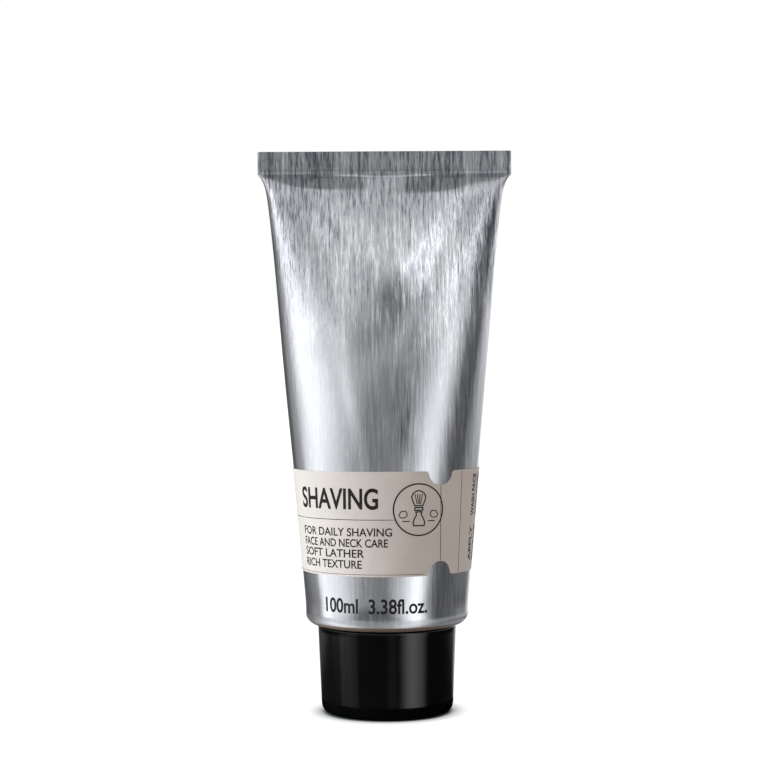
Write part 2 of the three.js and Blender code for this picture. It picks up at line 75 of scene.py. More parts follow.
class Graph:
    """A node tree that is being wired up, with short calls for the nodes used here."""

    def __init__(self, tree: Tree) -> None:
        """Keeps the tree of a material, a world or a group."""
        self.tree = tree

    def add(self, kind: str, inputs: Optional[dict] = None, **settings: object) -> Node:
        """Adds a node.

        Args:
            kind: Its type, without the words ShaderNode in front.
            inputs: Socket name or number to a value, or to the socket that feeds it.
            **settings: Properties of the node itself.

        Returns:
            The node.
        """
        prefix = "" if kind.startswith("NodeGroup") else "ShaderNode"
        node = self.tree.nodes.new(prefix + kind)
        for key, value in settings.items():
            setattr(node, key, value)
        for key, value in (inputs or {}).items():
            self.feed(node.inputs[key], value)
        return node

    def feed(self, socket: Socket, value: Link) -> None:
        """Links a socket to another one, or sets its value.

        Args:
            socket: The input.
            value: An output socket, or a plain value.
        """
        if isinstance(value, Socket):
            self.tree.links.new(value, socket)
        elif isinstance(value, tuple) and len(value) == 3 and socket.type == "RGBA":
            socket.default_value = (*value, 1.0)
        else:
            socket.default_value = value

    def math(self, operation: str, a: Link, b: Link = 0.0, c: Link = 0.0, clamp: bool = False) -> Socket:
        """Adds a Math node and returns its output."""
        return self.add("Math", {0: a, 1: b, 2: c}, operation=operation, use_clamp=clamp).outputs[0]

    def plus(self, a: Link, b: Link, clamp: bool = False) -> Socket:
        """Returns a sum."""
        return self.math("ADD", a, b, clamp=clamp)

    def minus(self, a: Link, b: Link, clamp: bool = False) -> Socket:
        """Returns a difference."""
        return self.math("SUBTRACT", a, b, clamp=clamp)

    def times(self, a: Link, b: Link) -> Socket:
        """Returns a product."""
        return self.math("MULTIPLY", a, b)

    def weighed(self, *terms: tuple[Link, Link]) -> Socket:
        """Adds up values, each times its weight.

        Args:
            *terms: Pairs of a value and its weight.

        Returns:
            The sum.
        """
        total = self.times(*terms[0])
        for value, weight in terms[1:]:
            total = self.plus(total, self.times(value, weight))
        return total

    def remap(self, value: Link, low: float, high: float, to_low: float = 0.0,
              to_high: float = 1.0) -> Socket:
        """Adds a clamped Map Range node with soft ends and returns its output."""
        inputs = {"Value": value, "From Min": low, "From Max": high, "To Min": to_low, "To Max": to_high}
        return self.add("MapRange", inputs, interpolation_type="SMOOTHSTEP").outputs[0]

    def mix(self, factor: Link, a: Link, b: Link) -> Socket:
        """Adds a colour Mix node and returns its output."""
        return self.add("Mix", data_type="RGBA", clamp_factor=True, inputs={0: factor, 6: a, 7: b}).outputs[2]

    def noise(self, vector: Link, scale: Link, detail: float = 2.0, roughness: float = 0.5) -> Socket:
        """Adds a Noise Texture and returns its value."""
        inputs = {"Vector": vector, "Scale": scale, "Detail": detail, "Roughness": roughness}
        return self.add("TexNoise", inputs).outputs[0]

    def cells(self, vector: Link, scale: float, feature: str = "DISTANCE_TO_EDGE") -> Socket:
        """Adds a Voronoi Texture and returns its distance."""
        return self.add("TexVoronoi", {"Vector": vector, "Scale": scale}, feature=feature).outputs[0]

    def stretched(self, vector: Link, scale: Colour, turn: Colour = (0.0, 0.0, 0.0)) -> Socket:
        """Adds a Mapping node and returns its vector."""
        return self.add("Mapping", {0: vector, 2: turn, 3: scale}).outputs[0]

    def place(self) -> Socket:
        """Returns the place on the piece, in metres."""
        return self.add("TexCoord").outputs["Object"]

    def bump(self, height: Link, strength: float = 1.0) -> Socket:
        """Returns the normal of a surface with a height in metres."""
        return self.add("Bump", {"Strength": strength, "Distance": 1.0, "Height": height}).outputs[0]

    def cover(self, shader: Node, colour: Link, roughness: Link, normal: Socket) -> None:
        """Feeds a shader's colour, roughness and normal."""
        for label, value in (("Base Color", colour), ("Roughness", roughness), ("Normal", normal)):
            self.feed(shader.inputs[label], value)

    def group(self, tree: Tree, **inputs: Link) -> Node:
        """Places a node group.

        Args:
            tree: The group.
            **inputs: Socket names to values.

        Returns:
            The group's node.
        """
        node = self.add("Group")
        node.node_tree = tree
        for key, value in inputs.items():
            self.feed(node.inputs[key], value)
        return node


class Effects:
    """The shader node groups that more than one finish uses. Each is made once."""

    @staticmethod
    def _start(name: str, inputs: dict[str, float], outputs: dict[str, str]) -> tuple[Graph, dict, Node]:
        """Makes an empty group.

        Args:
            name: The group's name.
            inputs: Socket name to its default.
            outputs: Socket name to its socket type.

        Returns:
            The group's graph, its input sockets by name, and its output node.
        """
        tree = bpy.data.node_groups.new(name, "ShaderNodeTree")
        for label, value in inputs.items():
            socket = tree.interface.new_socket(label, in_out="INPUT", socket_type="NodeSocketFloat")
            socket.default_value = value
        for label, kind in outputs.items():
            tree.interface.new_socket(label, in_out="OUTPUT", socket_type=kind)
        graph = Graph(tree)
        source = graph.add("NodeGroupInput")
        return graph, {s.name: s for s in source.outputs}, graph.add("NodeGroupOutput")

    @staticmethod
    @cache
    def streaks() -> Tree:
        """Fine lines that run along the web, as brushing leaves them.

        Returns:
            A group with Across and Along (lines in a decimetre each way), Sharpness and Offset; it
            gives a value round 0.5.
        """
        ins = {"Across": 60.0, "Along": 2.0, "Sharpness": 1.0, "Offset": 0.0}
        g, i, out = Effects._start("brushed streaks", ins, {"Value": "NodeSocketFloat"})
        web = g.add("UVMap", uv_map=WEB_UV)
        parts = g.add("SeparateXYZ", {0: web.outputs[0]}).outputs
        across, along = g.times(parts[0], i["Across"]), g.times(parts[1], i["Along"])
        place = g.add("CombineXYZ", {0: across, 1: along, 2: i["Offset"]}).outputs[0]
        value = g.noise(place, 1.0, detail=2.5, roughness=0.62)
        sharp = g.times(g.minus(value, 0.5), i["Sharpness"])
        g.feed(out.inputs[0], g.plus(sharp, 0.5, clamp=True))
        return g.tree

    @staticmethod
    @cache
    def tooth() -> Tree:
        """A fine unevenness, such as moulded plastic, paper or foam has.

        Returns:
            A group with Size (mm) and Height (mm); it gives a value from 0 to 1 and a normal.
        """
        outs = {"Value": "NodeSocketFloat", "Normal": "NodeSocketVector"}
        g, i, out = Effects._start("fine tooth", {"Size": 0.3, "Height": 0.01}, outs)
        value = g.noise(g.place(), g.math("DIVIDE", 1000.0, i["Size"]), detail=3.0, roughness=0.6)
        g.feed(out.inputs["Value"], value)
        g.feed(out.inputs["Normal"], g.bump(g.times(g.times(value, i["Height"]), MM)))
        return g.tree

    @staticmethod
    @cache
    def handling() -> Tree:
        """Where hands and shelves have dulled a surface: soft smears and a few hair scratches.

        Returns:
            A group with Smears and Scratches, from 0 to 1; it gives a mask.
        """
        ins = {"Smears": 0.5, "Scratches": 0.5}
        g, i, out = Effects._start("handling marks", ins, {"Mask": "NodeSocketFloat"})
        place = g.place()
        smear = g.remap(g.noise(place, 55.0, detail=3.0, roughness=0.65), 0.5, 0.72)
        warped = g.add("VectorMath", {0: place, 1: g.noise(place, 40.0)}, operation="ADD").outputs[0]
        hairs = g.cells(g.stretched(warped, (1.0, 1.0, 0.05), (0.3, 0.5, 0.9)), 420.0)
        scratch = g.remap(hairs, 0.0, 0.035, 1.0, 0.0)
        sparse = g.times(scratch, g.remap(g.noise(place, 160.0), 0.52, 0.62))
        total = g.weighed((smear, i["Smears"]), (sparse, i["Scratches"]))
        g.feed(out.inputs[0], g.math("MINIMUM", total, 1.0))
        return g.tree


# ---- finishes


class Finish:
    """A material that a piece can wear. Each is made the first time it is asked for."""

    name: str
    _made: dict[str, bpy.types.Material] = {}

    def material(self) -> bpy.types.Material:
        """Gives the material, making it if need be.

        Returns:
            The material.
        """
        if self.name not in Finish._made:
            material = bpy.data.materials.new(self.name)
            material.use_nodes = True
            self.wire(Graph(material.node_tree), material.node_tree.nodes["Principled BSDF"])
            Finish._made[self.name] = material
        return Finish._made[self.name]

    def wire(self, g: Graph, shader: Node) -> None:
        """Wires the nodes in front of the shader.

        Args:
            g: The material's graph.
            shader: Its Principled BSDF.
        """
        raise NotImplementedError

    def dress(self, piece: Piece) -> None:
        """Puts the material on a piece, in place of any others."""
        piece.data.materials.clear()
        piece.data.materials.append(self.material())


@dataclass(frozen=True)
class BrushedLaminate(Finish):
    """The sleeve's printed aluminium: brushed along the tube, boldest near the seal."""

    name: str = "brushed_laminate"
    dark: Colour = (0.20, 0.21, 0.245)
    middle: Colour = (0.56, 0.575, 0.61)
    bright: Colour = (0.93, 0.94, 0.95)
    broad: Colour = (42.0, 2.6, 2.3)  # lines across and along a decimetre, and sharpness
    fine: Colour = (150.0, 9.0, 2.4)
    hair: Colour = (380.0, 38.0, 2.5)
    seal_z: float = 132.5  # mm, as are the other heights
    calm_z: float = 76.0  # below this the brushing is faint
    bold_z: float = 118.0
    corner_z: float = 25.4  # where the rolled corner begins
    roughness: float = 0.13
    contrast: float = 1.9
    lightness: float = 0.56
    groove_mm: float = 0.03

    def _streaks(self, g: Graph, size: Colour, offset: float) -> Socket:
        """Places one size of streak."""
        across, along, sharpness = size
        made = g.group(Effects.streaks(), Across=across, Along=along, Sharpness=sharpness, Offset=offset)
        return made.outputs[0]

    def wire(self, g: Graph, shader: Node) -> None:
        """Wires streaks of three sizes, painted shade in a band under the seal and beside each corner fold,
        and dull brush marks.

        Args:
            g: The material's graph.
            shader: Its Principled BSDF.
        """
        broad = self._streaks(g, self.broad, 0.3)
        fine = self._streaks(g, self.fine, 4.1)
        hair = self._streaks(g, self.hair, 8.7)
        across, along, _ = g.add("SeparateXYZ", {0: g.add("UVMap", uv_map=WEB_UV).outputs[0]}).outputs
        height = g.times(along, 100.0)
        beside = g.times(g.math("ABSOLUTE", across), 100.0)
        # Boldness falls from the seal to the middle of the tube. Under the seal the metal is darkened,
        # painted shade whose lower edge is ragged: each streak reaches down to its own height.
        ragged = g.plus(height, g.times(g.minus(broad, 0.5), 26.0))
        bold = g.remap(height, self.calm_z, self.bold_z, 0.22, 0.95)
        top = g.remap(ragged, self.seal_z - 17.0, self.seal_z + 1.0)
        weave = g.weighed((broad, 0.30), (fine, 0.37), (hair, 0.33))
        swing = g.times(g.minus(weave, 0.5), bold)
        lightness = g.plus(g.times(swing, self.contrast), self.lightness)
        # Painted shade: the band under the seal is darkened here.
        lightness = g.minus(lightness, g.times(top, 0.24))
        # Outside each corner fold the metal is darkened in fine streaks: painted shade.
        side = g.times(g.remap(beside, 16.5, 21.5), g.remap(beside, 26.0, 30.0, 1.0, 0.0))
        side = g.times(side, g.remap(height, 96.0, 112.0))
        side = g.times(side, g.times(g.remap(height, 124.0, 130.0, 1.0, 0.0), fine))
        lightness = g.minus(lightness, g.times(side, 0.42), clamp=True)
        low = g.mix(g.remap(lightness, 0.0, 0.5), self.dark, self.middle)
        colour = g.mix(g.remap(lightness, 0.5, 1.0), low, self.bright)
        marks = g.group(Effects.handling(), Smears=0.5, Scratches=0.15).outputs[0]
        rough = g.plus(g.times(fine, 0.1), self.roughness)
        rough = g.plus(rough, g.times(top, 0.12))
        rough = g.plus(rough, g.times(marks, 0.05))
        # The rolled corner is duller.
        rough = g.plus(rough, g.remap(height, self.corner_z, self.corner_z - 1.0, 0.0, 0.22))
        grooves = g.times(g.weighed((fine, 0.6), (hair, 0.4)), bold)
        g.cover(shader, colour, rough, g.bump(g.times(grooves, self.groove_mm * MM)))
        shader.inputs["Metallic"].default_value = 1.0


@dataclass(frozen=True)
class LabelPaper(Finish):
    """Cream-coloured coated paper, faintly fibrous."""

    name: str = "label_paper"
    colour: Colour = (0.50, 0.43, 0.385)
    shade: Colour = (0.435, 0.368, 0.325)
    roughness: float = 0.42

    def wire(self, g: Graph, shader: Node) -> None:
        """Wires fibres, a slight mottle and a soft sheen.

        Args:
            g: The material's graph.
            shader: Its Principled BSDF.
        """
        place = g.place()
        tooth = g.group(Effects.tooth(), Size=0.22, Height=0.006)
        mottle = g.remap(g.noise(place, 180.0, detail=4.0), 0.35, 0.7)
        strands = g.remap(g.noise(g.stretched(place, (1.0, 1.0, 0.2)), 2600.0), 0.56, 0.74)
        colour = g.mix(g.weighed((mottle, 0.3), (strands, 0.4)), self.colour, self.shade)
        g.cover(shader, colour, g.plus(g.times(tooth.outputs[0], 0.16), self.roughness), tooth.outputs[1])


@dataclass(frozen=True)
class PrintInk(Finish):
    """Dark ink, a little uneven in its cover."""

    name: str = "print_ink"
    colour: Colour = (0.010, 0.008, 0.007)
    thin: Colour = (0.024, 0.020, 0.017)
    roughness: float = 0.45

    def wire(self, g: Graph, shader: Node) -> None:
        """Wires the uneven cover.

        Args:
            g: The material's graph.
            shader: Its Principled BSDF.
        """
        tooth = g.group(Effects.tooth(), Size=0.35, Height=0.002)
        colour = g.mix(g.remap(tooth.outputs[0], 0.45, 0.75), self.colour, self.thin)
        g.cover(shader, colour, g.plus(g.times(tooth.outputs[0], 0.15), self.roughness), tooth.outputs[1])
        shader.inputs["Specular IOR Level"].default_value = 0.2


@dataclass(frozen=True)
class Moulded(Finish):
    """Injection-moulded plastic, with a fine tooth and handling marks."""

    name: str
    colour: Colour
    shade: Colour
    roughness: float
    grain_mm: float
    grain_height_mm: float
    marks: float

    def wire(self, g: Graph, shader: Node) -> None:
        """Wires slow colour drift, tooth and handling marks.

        Args:
            g: The material's graph.
            shader: Its Principled BSDF.
        """
        drift = g.remap(g.noise(g.place(), 90.0, detail=3.0), 0.3, 0.7)
        tooth = g.group(Effects.tooth(), Size=self.grain_mm, Height=self.grain_height_mm)
        marks = g.group(Effects.handling(), Smears=0.6, Scratches=0.8).outputs[0]
        rough = g.plus(g.times(marks, self.marks), self.roughness)
        rough = g.plus(rough, g.times(tooth.outputs[0], 0.05))
        g.cover(shader, g.mix(drift, self.colour, self.shade), rough, tooth.outputs[1])


@dataclass(frozen=True)
class Foil(Finish):
    """Thin aluminium, lightly creased."""

    name: str = "seal_foil"
    colour: Colour = (0.72, 0.73, 0.74)
    crease_mm: float = 0.05
    roughness: float = 0.2

    def wire(self, g: Graph, shader: Node) -> None:
        """Wires creases and a rolled sheen.

        Args:
            g: The material's graph.
            shader: Its Principled BSDF.
        """
        place = g.place()
        crease = g.remap(g.cells(place, 700.0), 0.0, 0.12)
        sheen = g.noise(g.stretched(place, (6.0, 0.6, 1.0)), 900.0)
        colour = g.mix(sheen, self.colour, tuple(0.8 * c for c in self.colour))
        normal = g.bump(g.times(crease, self.crease_mm * MM), 0.6)
        g.cover(shader, colour, g.plus(g.times(sheen, 0.15), self.roughness), normal)
        shader.inputs["Metallic"].default_value = 1.0


@dataclass(frozen=True)
class Foam(Finish):
    """White closed-cell foam."""

    name: str = "liner_foam"
    colour: Colour = (0.80, 0.79, 0.75)
    pore: Colour = (0.62, 0.61, 0.57)
    pore_depth_mm: float = 0.04
    roughness: float = 0.75

    def wire(self, g: Graph, shader: Node) -> None:
        """Wires the cells.

        Args:
            g: The material's graph.
            shader: Its Principled BSDF.
        """
        pores = g.remap(g.cells(g.place(), 2600.0, "F1"), 0.25, 0.7)
        normal = g.bump(g.times(pores, -self.pore_depth_mm * MM), 0.8)
        rough = g.plus(g.times(pores, 0.1), self.roughness)
        g.cover(shader, g.mix(pores, self.colour, self.pore), rough, normal)


@dataclass(frozen=True)
class Cream(Finish):
    """Thick white shaving cream."""

    name: str = "cream"
    colour: Colour = (0.90, 0.89, 0.85)
    fold: Colour = (0.82, 0.81, 0.76)
    fold_mm: float = 0.5
    roughness: float = 0.3

    def wire(self, g: Graph, shader: Node) -> None:
        """Wires soft folds.

        Args:
            g: The material's graph.
            shader: Its Principled BSDF.
        """
        folds = g.noise(g.place(), 120.0, detail=4.0)
        colour = g.mix(g.remap(folds, 0.3, 0.7), self.colour, self.fold)
        normal = g.bump(g.times(folds, self.fold_mm * MM), 0.4)
        g.cover(shader, colour, g.plus(g.times(folds, 0.2), self.roughness), normal)


CAP_GLOSS = Moulded("cap_gloss", (0.0018, 0.0018, 0.0019), (0.0012, 0.0012, 0.0013), 0.07, 0.5, 0.0008, 0.05)
INSERT_PLASTIC = Moulded("insert_plastic", (0.02, 0.02, 0.02), (0.014, 0.014, 0.014), 0.42, 0.2, 0.006, 0.12)
SHOULDER_PLASTIC = Moulded("shoulder_plastic", (0.17, 0.115, 0.09), (0.14, 0.095, 0.072), 0.42, 0.2, 0.004,
                           0.1)
SLEEVE_INK = PrintInk("sleeve_ink", (0.007, 0.007, 0.008), (0.014, 0.014, 0.016))
BARRIER_FOIL = Foil("barrier_laminate", (0.66, 0.66, 0.64), 0.02)


# ---- meshes


def sharpen(mesh: bpy.types.Mesh, degrees: float = 38.0) -> None:
    """Shades a mesh smooth, with a crisp line wherever its faces meet at more than an angle."""
    mesh.shade_smooth()
    mesh.set_sharp_from_angle(angle=math.radians(degrees))


def add_mesh(name: str, points: np.ndarray, faces: Sequence[Sequence[int]], degrees: float = 38.0) -> Piece:
    """Makes an object from points in millimetres.

    Args:
        name: The piece's name.
        points: An array of rows of x, y, z.
        faces: Point numbers of each face, anticlockwise from outside.
        degrees: The angle above which an edge is crisp.

    Returns:
        The object, linked to the scene.
    """
    mesh = bpy.data.meshes.new(name)
    mesh.from_pydata((np.asarray(points, float) * MM).tolist(), [], [list(f) for f in faces])
    mesh.validate()
    mesh.update()
    sharpen(mesh, degrees)
    piece = bpy.data.objects.new(name, mesh)
    bpy.context.scene.collection.objects.link(piece)
    return piece


def mount(piece: Piece, body: Body, slot: str, finish: Finish, *nodes: str) -> Piece:
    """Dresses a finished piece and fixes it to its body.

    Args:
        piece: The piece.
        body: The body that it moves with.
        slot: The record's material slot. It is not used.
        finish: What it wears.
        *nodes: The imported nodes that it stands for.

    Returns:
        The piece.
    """
    finish.dress(piece)
    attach(piece, body.value)
    if nodes:
        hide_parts(*nodes)
    log.info("%s: %d faces on %s", piece.name, len(piece.data.polygons), body.value)
    return piece


def arc(centre_r: float, centre_z: float, radius: float, start: float, end: float, steps: int) -> list[Point]:
    """Points on an arc in the (radius, z) half plane.

    Args:
        centre_r: The centre's distance from the axis.
        centre_z: Its height.
        radius: The arc's radius.
        start: First angle in degrees; 0 points down and 90 away from the axis.
        end: Last angle in degrees.
        steps: How many chords.

    Returns:
        Pairs of radius and z.
    """
    angles = np.radians(np.linspace(start, end, steps + 1))
    return [(centre_r + radius * math.sin(a), centre_z - radius * math.cos(a)) for a in angles]


def span(start: Point, end: Point, steps: int) -> list[Point]:
    """Evenly spaced points after the first one on a straight line, up to and with its end."""
    return [tuple(s + (e - s) * i / steps for s, e in zip(start, end)) for i in range(1, steps + 1)]


def turned(name: str, profile: Sequence[Point], segments: int = 160,
           swell: Optional[Callable[[np.ndarray, np.ndarray], np.ndarray]] = None) -> Piece:
    """A turned piece.

    Args:
        name: The piece's name.
        profile: Pairs of radius and z, once round with the solid on their left; it starts and
            ends on the axis, or closes on itself.
        segments: Facets round the axis.
        swell: Gives what to add to each point's radius from its angle and its (radius, z).

    Returns:
        The object.
    """
    flat = np.asarray(profile, float)
    angles = np.arange(segments) * 2 * math.pi / segments
    on_axis = flat[:, 0] < 1e-9
    points: list[np.ndarray] = []
    rows: list[np.ndarray] = []
    count = 0
    for (radius, z), axial in zip(flat, on_axis):
        if axial:
            points.append(np.array([[0.0, 0.0, z]]))
            rows.append(np.full(segments, count))
            count += 1
            continue
        reach = np.full(segments, radius)
        if swell is not None:
            reach = reach + swell(angles, np.array([radius, z]))
        points.append(np.column_stack([reach * np.cos(angles), reach * np.sin(angles), np.full(segments, z)]))
        rows.append(np.arange(count, count + segments))
        count += segments
    closed = not on_axis[0]
    pairs = list(zip(rows, rows[1:])) + ([(rows[-1], rows[0])] if closed else [])
    faces = []
    for low, high in pairs:
        for k in range(segments):
            m = (k + 1) % segments
            corners = [low[k], low[m], high[m], high[k]]
            face = list(dict.fromkeys(int(c) for c in corners))
            if len(face) > 2:
                faces.append(face)
    return add_mesh(name, np.vstack(points), faces)


@dataclass(frozen=True)
class Helix:
    """A single-start right-hand ridge of trapezoid section on a round wall."""

    pitch: float = 3.0
    root_width: float = 1.3
    crest_width: float = 0.6
    height: float = 0.9  # outwards; less than 0 stands in from the wall
    first_z: float = 14.4
    first_angle: float = 0.0
    turns: float = 1.9
    fade: float = 0.09  # of a turn, over which each end rises

    def at(self, angles: np.ndarray, z: float) -> np.ndarray:
        """How far the ridge stands from its wall.

        Args:
            angles: Places round the axis, in radians.
            z: The height.

        Returns:
            One distance for each angle.
        """
        best = np.zeros_like(angles)
        for turn in range(-1, int(self.turns) + 2):
            along = (angles - self.first_angle) / (2 * math.pi) + turn
            inside = (along >= 0) & (along <= self.turns)
            from_line = np.abs(z - self.first_z - self.pitch * along)
            flank = (self.root_width - self.crest_width) / 2
            rise = np.clip((self.root_width / 2 - from_line) / flank, 0, 1)
            rise = rise * rise * (3 - 2 * rise)
            ends = np.clip(np.minimum(along, self.turns - along) / self.fade, 0, 1)
            best = np.maximum(best, np.where(inside, rise * np.sqrt(ends), 0))
        return best * self.height


# ---- the sleeve's shape


def smooth(t: np.ndarray) -> np.ndarray:
    """A soft step from 0 to 1 as t goes from 0 to 1."""
    t = np.clip(t, 0.0, 1.0)
    return t * t * (3 - 2 * t)


@dataclass
class WebShape:
    """Where each place on the laminate web lies once it is a round pipe pressed flat at its top.

    A place is (u, z): u millimetres along the web from the middle of the front, positive towards
    +X, and z its height. The web is as wide at every height as the round pipe's outline is long.
    """

    radius: float = 20.0
    body_start_z: float = 26.5
    body_length: float = 106.0
    seal_height: float = 5.6
    seal_half_thickness: float = 0.45
    ease: float = 0.018  # share of the body's length over which the widening begins
    row_step: float = 0.5
    columns: int = 320
    fold_height: float = 1.3
    fold_flank: float = 8.0
    fold_back: float = 16.0
    xs: np.ndarray = field(init=False, repr=False)
    ys: np.ndarray = field(init=False, repr=False)

    def __post_init__(self) -> None:
        """Works out the table of sections."""
        self.seal_z = self.body_start_z + self.body_length
        self.top_z = self.seal_z + self.seal_height
        self.width = 2 * math.pi * self.radius
        self.quarter = self.width / 4
        h = self.seal_half_thickness
        self.seal_half_width = (self.width - 2 * math.pi * h) / 4 + h
        self.rows = np.arange(self.body_start_z - 3.0, self.top_z + self.row_step, self.row_step)
        sections = [self._section(z) for z in self.rows]
        self.xs = np.array([s[0] for s in sections])
        self.ys = np.array([s[1] for s in sections])

    def _even(self, x: np.ndarray, y: np.ndarray) -> tuple[np.ndarray, np.ndarray]:
        """A quarter line from the narrow end to the face's middle, at even steps along it."""
        run = np.concatenate([[0], np.cumsum(np.hypot(np.diff(x), np.diff(y)))])
        wanted = np.linspace(0, run[-1], self.columns + 1)
        return np.interp(wanted, run, x), np.interp(wanted, run, y)

    def _section(self, z: float) -> tuple[np.ndarray, np.ndarray]:
        """The quarter section at a height."""
        t = min(max((z - self.body_start_z) / self.body_length, -self.ease), 1.0)
        if t < self.ease:
            t = (t + self.ease) ** 2 / (4 * self.ease)
        widening = 0.8 * t + 0.06 * t**8 + 0.14 * t**60
        half_width = self.radius + (self.seal_half_width - self.radius) * widening
        exponent = 2 + 0.35 * t + 1.25 * t**4
        angle = np.linspace(0, math.pi / 2, 900)
        across = np.maximum(0, np.cos(angle)) ** (2 / exponent)
        deep = np.sin(angle) ** (2 / exponent)
        low, high = 0.0, self.radius * 1.2
        for _ in range(40):
            middle = (low + high) / 2
            length = np.hypot(np.diff(half_width * across), np.diff(middle * deep)).sum()
            low, high = (middle, high) if length < self.quarter else (low, middle)
        x = half_width * across
        y = low * deep * (1 - 0.8 * t**7 * np.maximum(0, 1 - across**2) ** 1.5)
        x, y = self._even(x, y)
        bend = np.linspace(0, math.pi / 2, 60)
        h = self.seal_half_thickness
        sx = np.append(self.seal_half_width - h + h * np.cos(bend), 0.0)
        sy = np.append(h * np.sin(bend), h)
        sx, sy = self._even(sx, sy)
        flat = min(max((t - 0.994) / 0.006, 0.0), 1.0)
        return x + (sx - x) * flat, y + (sy - y) * flat

    def _surface(self, u: np.ndarray, z: np.ndarray) -> np.ndarray:
        """Places on the outside, without lift."""
        row = np.clip((z - self.rows[0]) / self.row_step, 0, len(self.rows) - 1.001)
        r0 = row.astype(int)
        fr = (row - r0)[:, None]
        q = np.abs(u)
        d = np.abs(self.quarter - q) / self.quarter * self.columns
        d = np.clip(d, 0, self.columns - 0.001)
        c0 = d.astype(int)
        fc = (d - c0)[:, None]
        corners = []
        for r in (r0, r0 + 1):
            a = np.column_stack([self.xs[r, c0], self.ys[r, c0]])
            b = np.column_stack([self.xs[r, c0 + 1], self.ys[r, c0 + 1]])
            corners.append(a + (b - a) * fc)
        xy = corners[0] + (corners[1] - corners[0]) * fr
        x = xy[:, 0] * np.where(u < 0, -1, 1)
        y = xy[:, 1] * np.where(q <= self.quarter, -1, 1)
        return np.column_stack([x, y, z])

    def _fold(self, side: np.ndarray, z: np.ndarray, foot: float, window: tuple[float, ...]) -> np.ndarray:
        """A soft ridge that runs in from a seal corner, with its steep flank to the outside.

        Args:
            side: Web places, positive towards that corner.
            z: Heights.
            foot: Where the flank's middle lies at z = 107 mm.
            window: Heights at which the ridge has begun, is full, is still full and has gone.

        Returns:
            Its height at each place, from 0 to 1.
        """
        up = z - 107.0
        line = foot + 0.42 * up + 0.0085 * up * np.abs(up)
        across = (side - line) * 0.87 + self.fold_flank / 2
        rise = smooth((across + self.fold_back) / self.fold_back)
        fall = 1 - smooth(across / self.fold_flank)
        begun, full, still, gone = window
        return rise * fall * smooth((begun - z) / (begun - full)) * smooth((z - gone) / (still - gone))

    def relief(self, u: np.ndarray, z: np.ndarray) -> np.ndarray:
        """How far handling and filling have pushed the wall out or in, in millimetres."""
        t = np.clip((z - self.body_start_z) / self.body_length, 0, 1)
        calm = np.sin(np.pi * np.clip((t - 0.02) / 0.93, 0, 1)) ** 1.3
        slow = 0.10 * np.sin(0.11 * u + 0.045 * z + 0.8) + 0.07 * np.sin(0.19 * u - 0.07 * z + 2.1)
        slower = 0.09 * np.sin(0.071 * z + 0.05 * u + 4.0)
        back = np.where(np.abs(u) > self.quarter, 1.0, 0.0)
        round_u = np.where(back > 0, (self.width / 2 - np.abs(u)) * np.sign(u), u)
        right = self._fold(round_u, z, 7.0, (132.0, 127.0, 116.0, 86.0))
        left = self._fold(-round_u, z, 9.4, (132.0, 128.0, 123.0, 98.0))
        return calm * (slow + slower) + self.fold_height * (right + left)

    def place(self, u: Sequence[float], z: Sequence[float], lift: float = 0.0) -> np.ndarray:
        """Points on the sleeve, or off it.

        Args:
            u: Millimetres along the web from the middle of the front.
            z: Heights.
            lift: Distance off the surface, square to it.

        Returns:
            An array of rows of x, y, z in millimetres.
        """
        u, z = np.asarray(u, float), np.asarray(z, float)
        u = (u + self.width / 2) % self.width - self.width / 2
        before, after = self._surface(u - 0.12, z), self._surface(u + 0.12, z)
        below, above = self._surface(u, z - 0.3), self._surface(u, z + 0.3)
        out = np.cross(after - before, above - below)
        out /= np.maximum(np.linalg.norm(out, axis=1), 1e-9)[:, None]
        return self._surface(u, z) + out * (lift + self.relief(u, z))[:, None]


# ---- flat shapes on the web


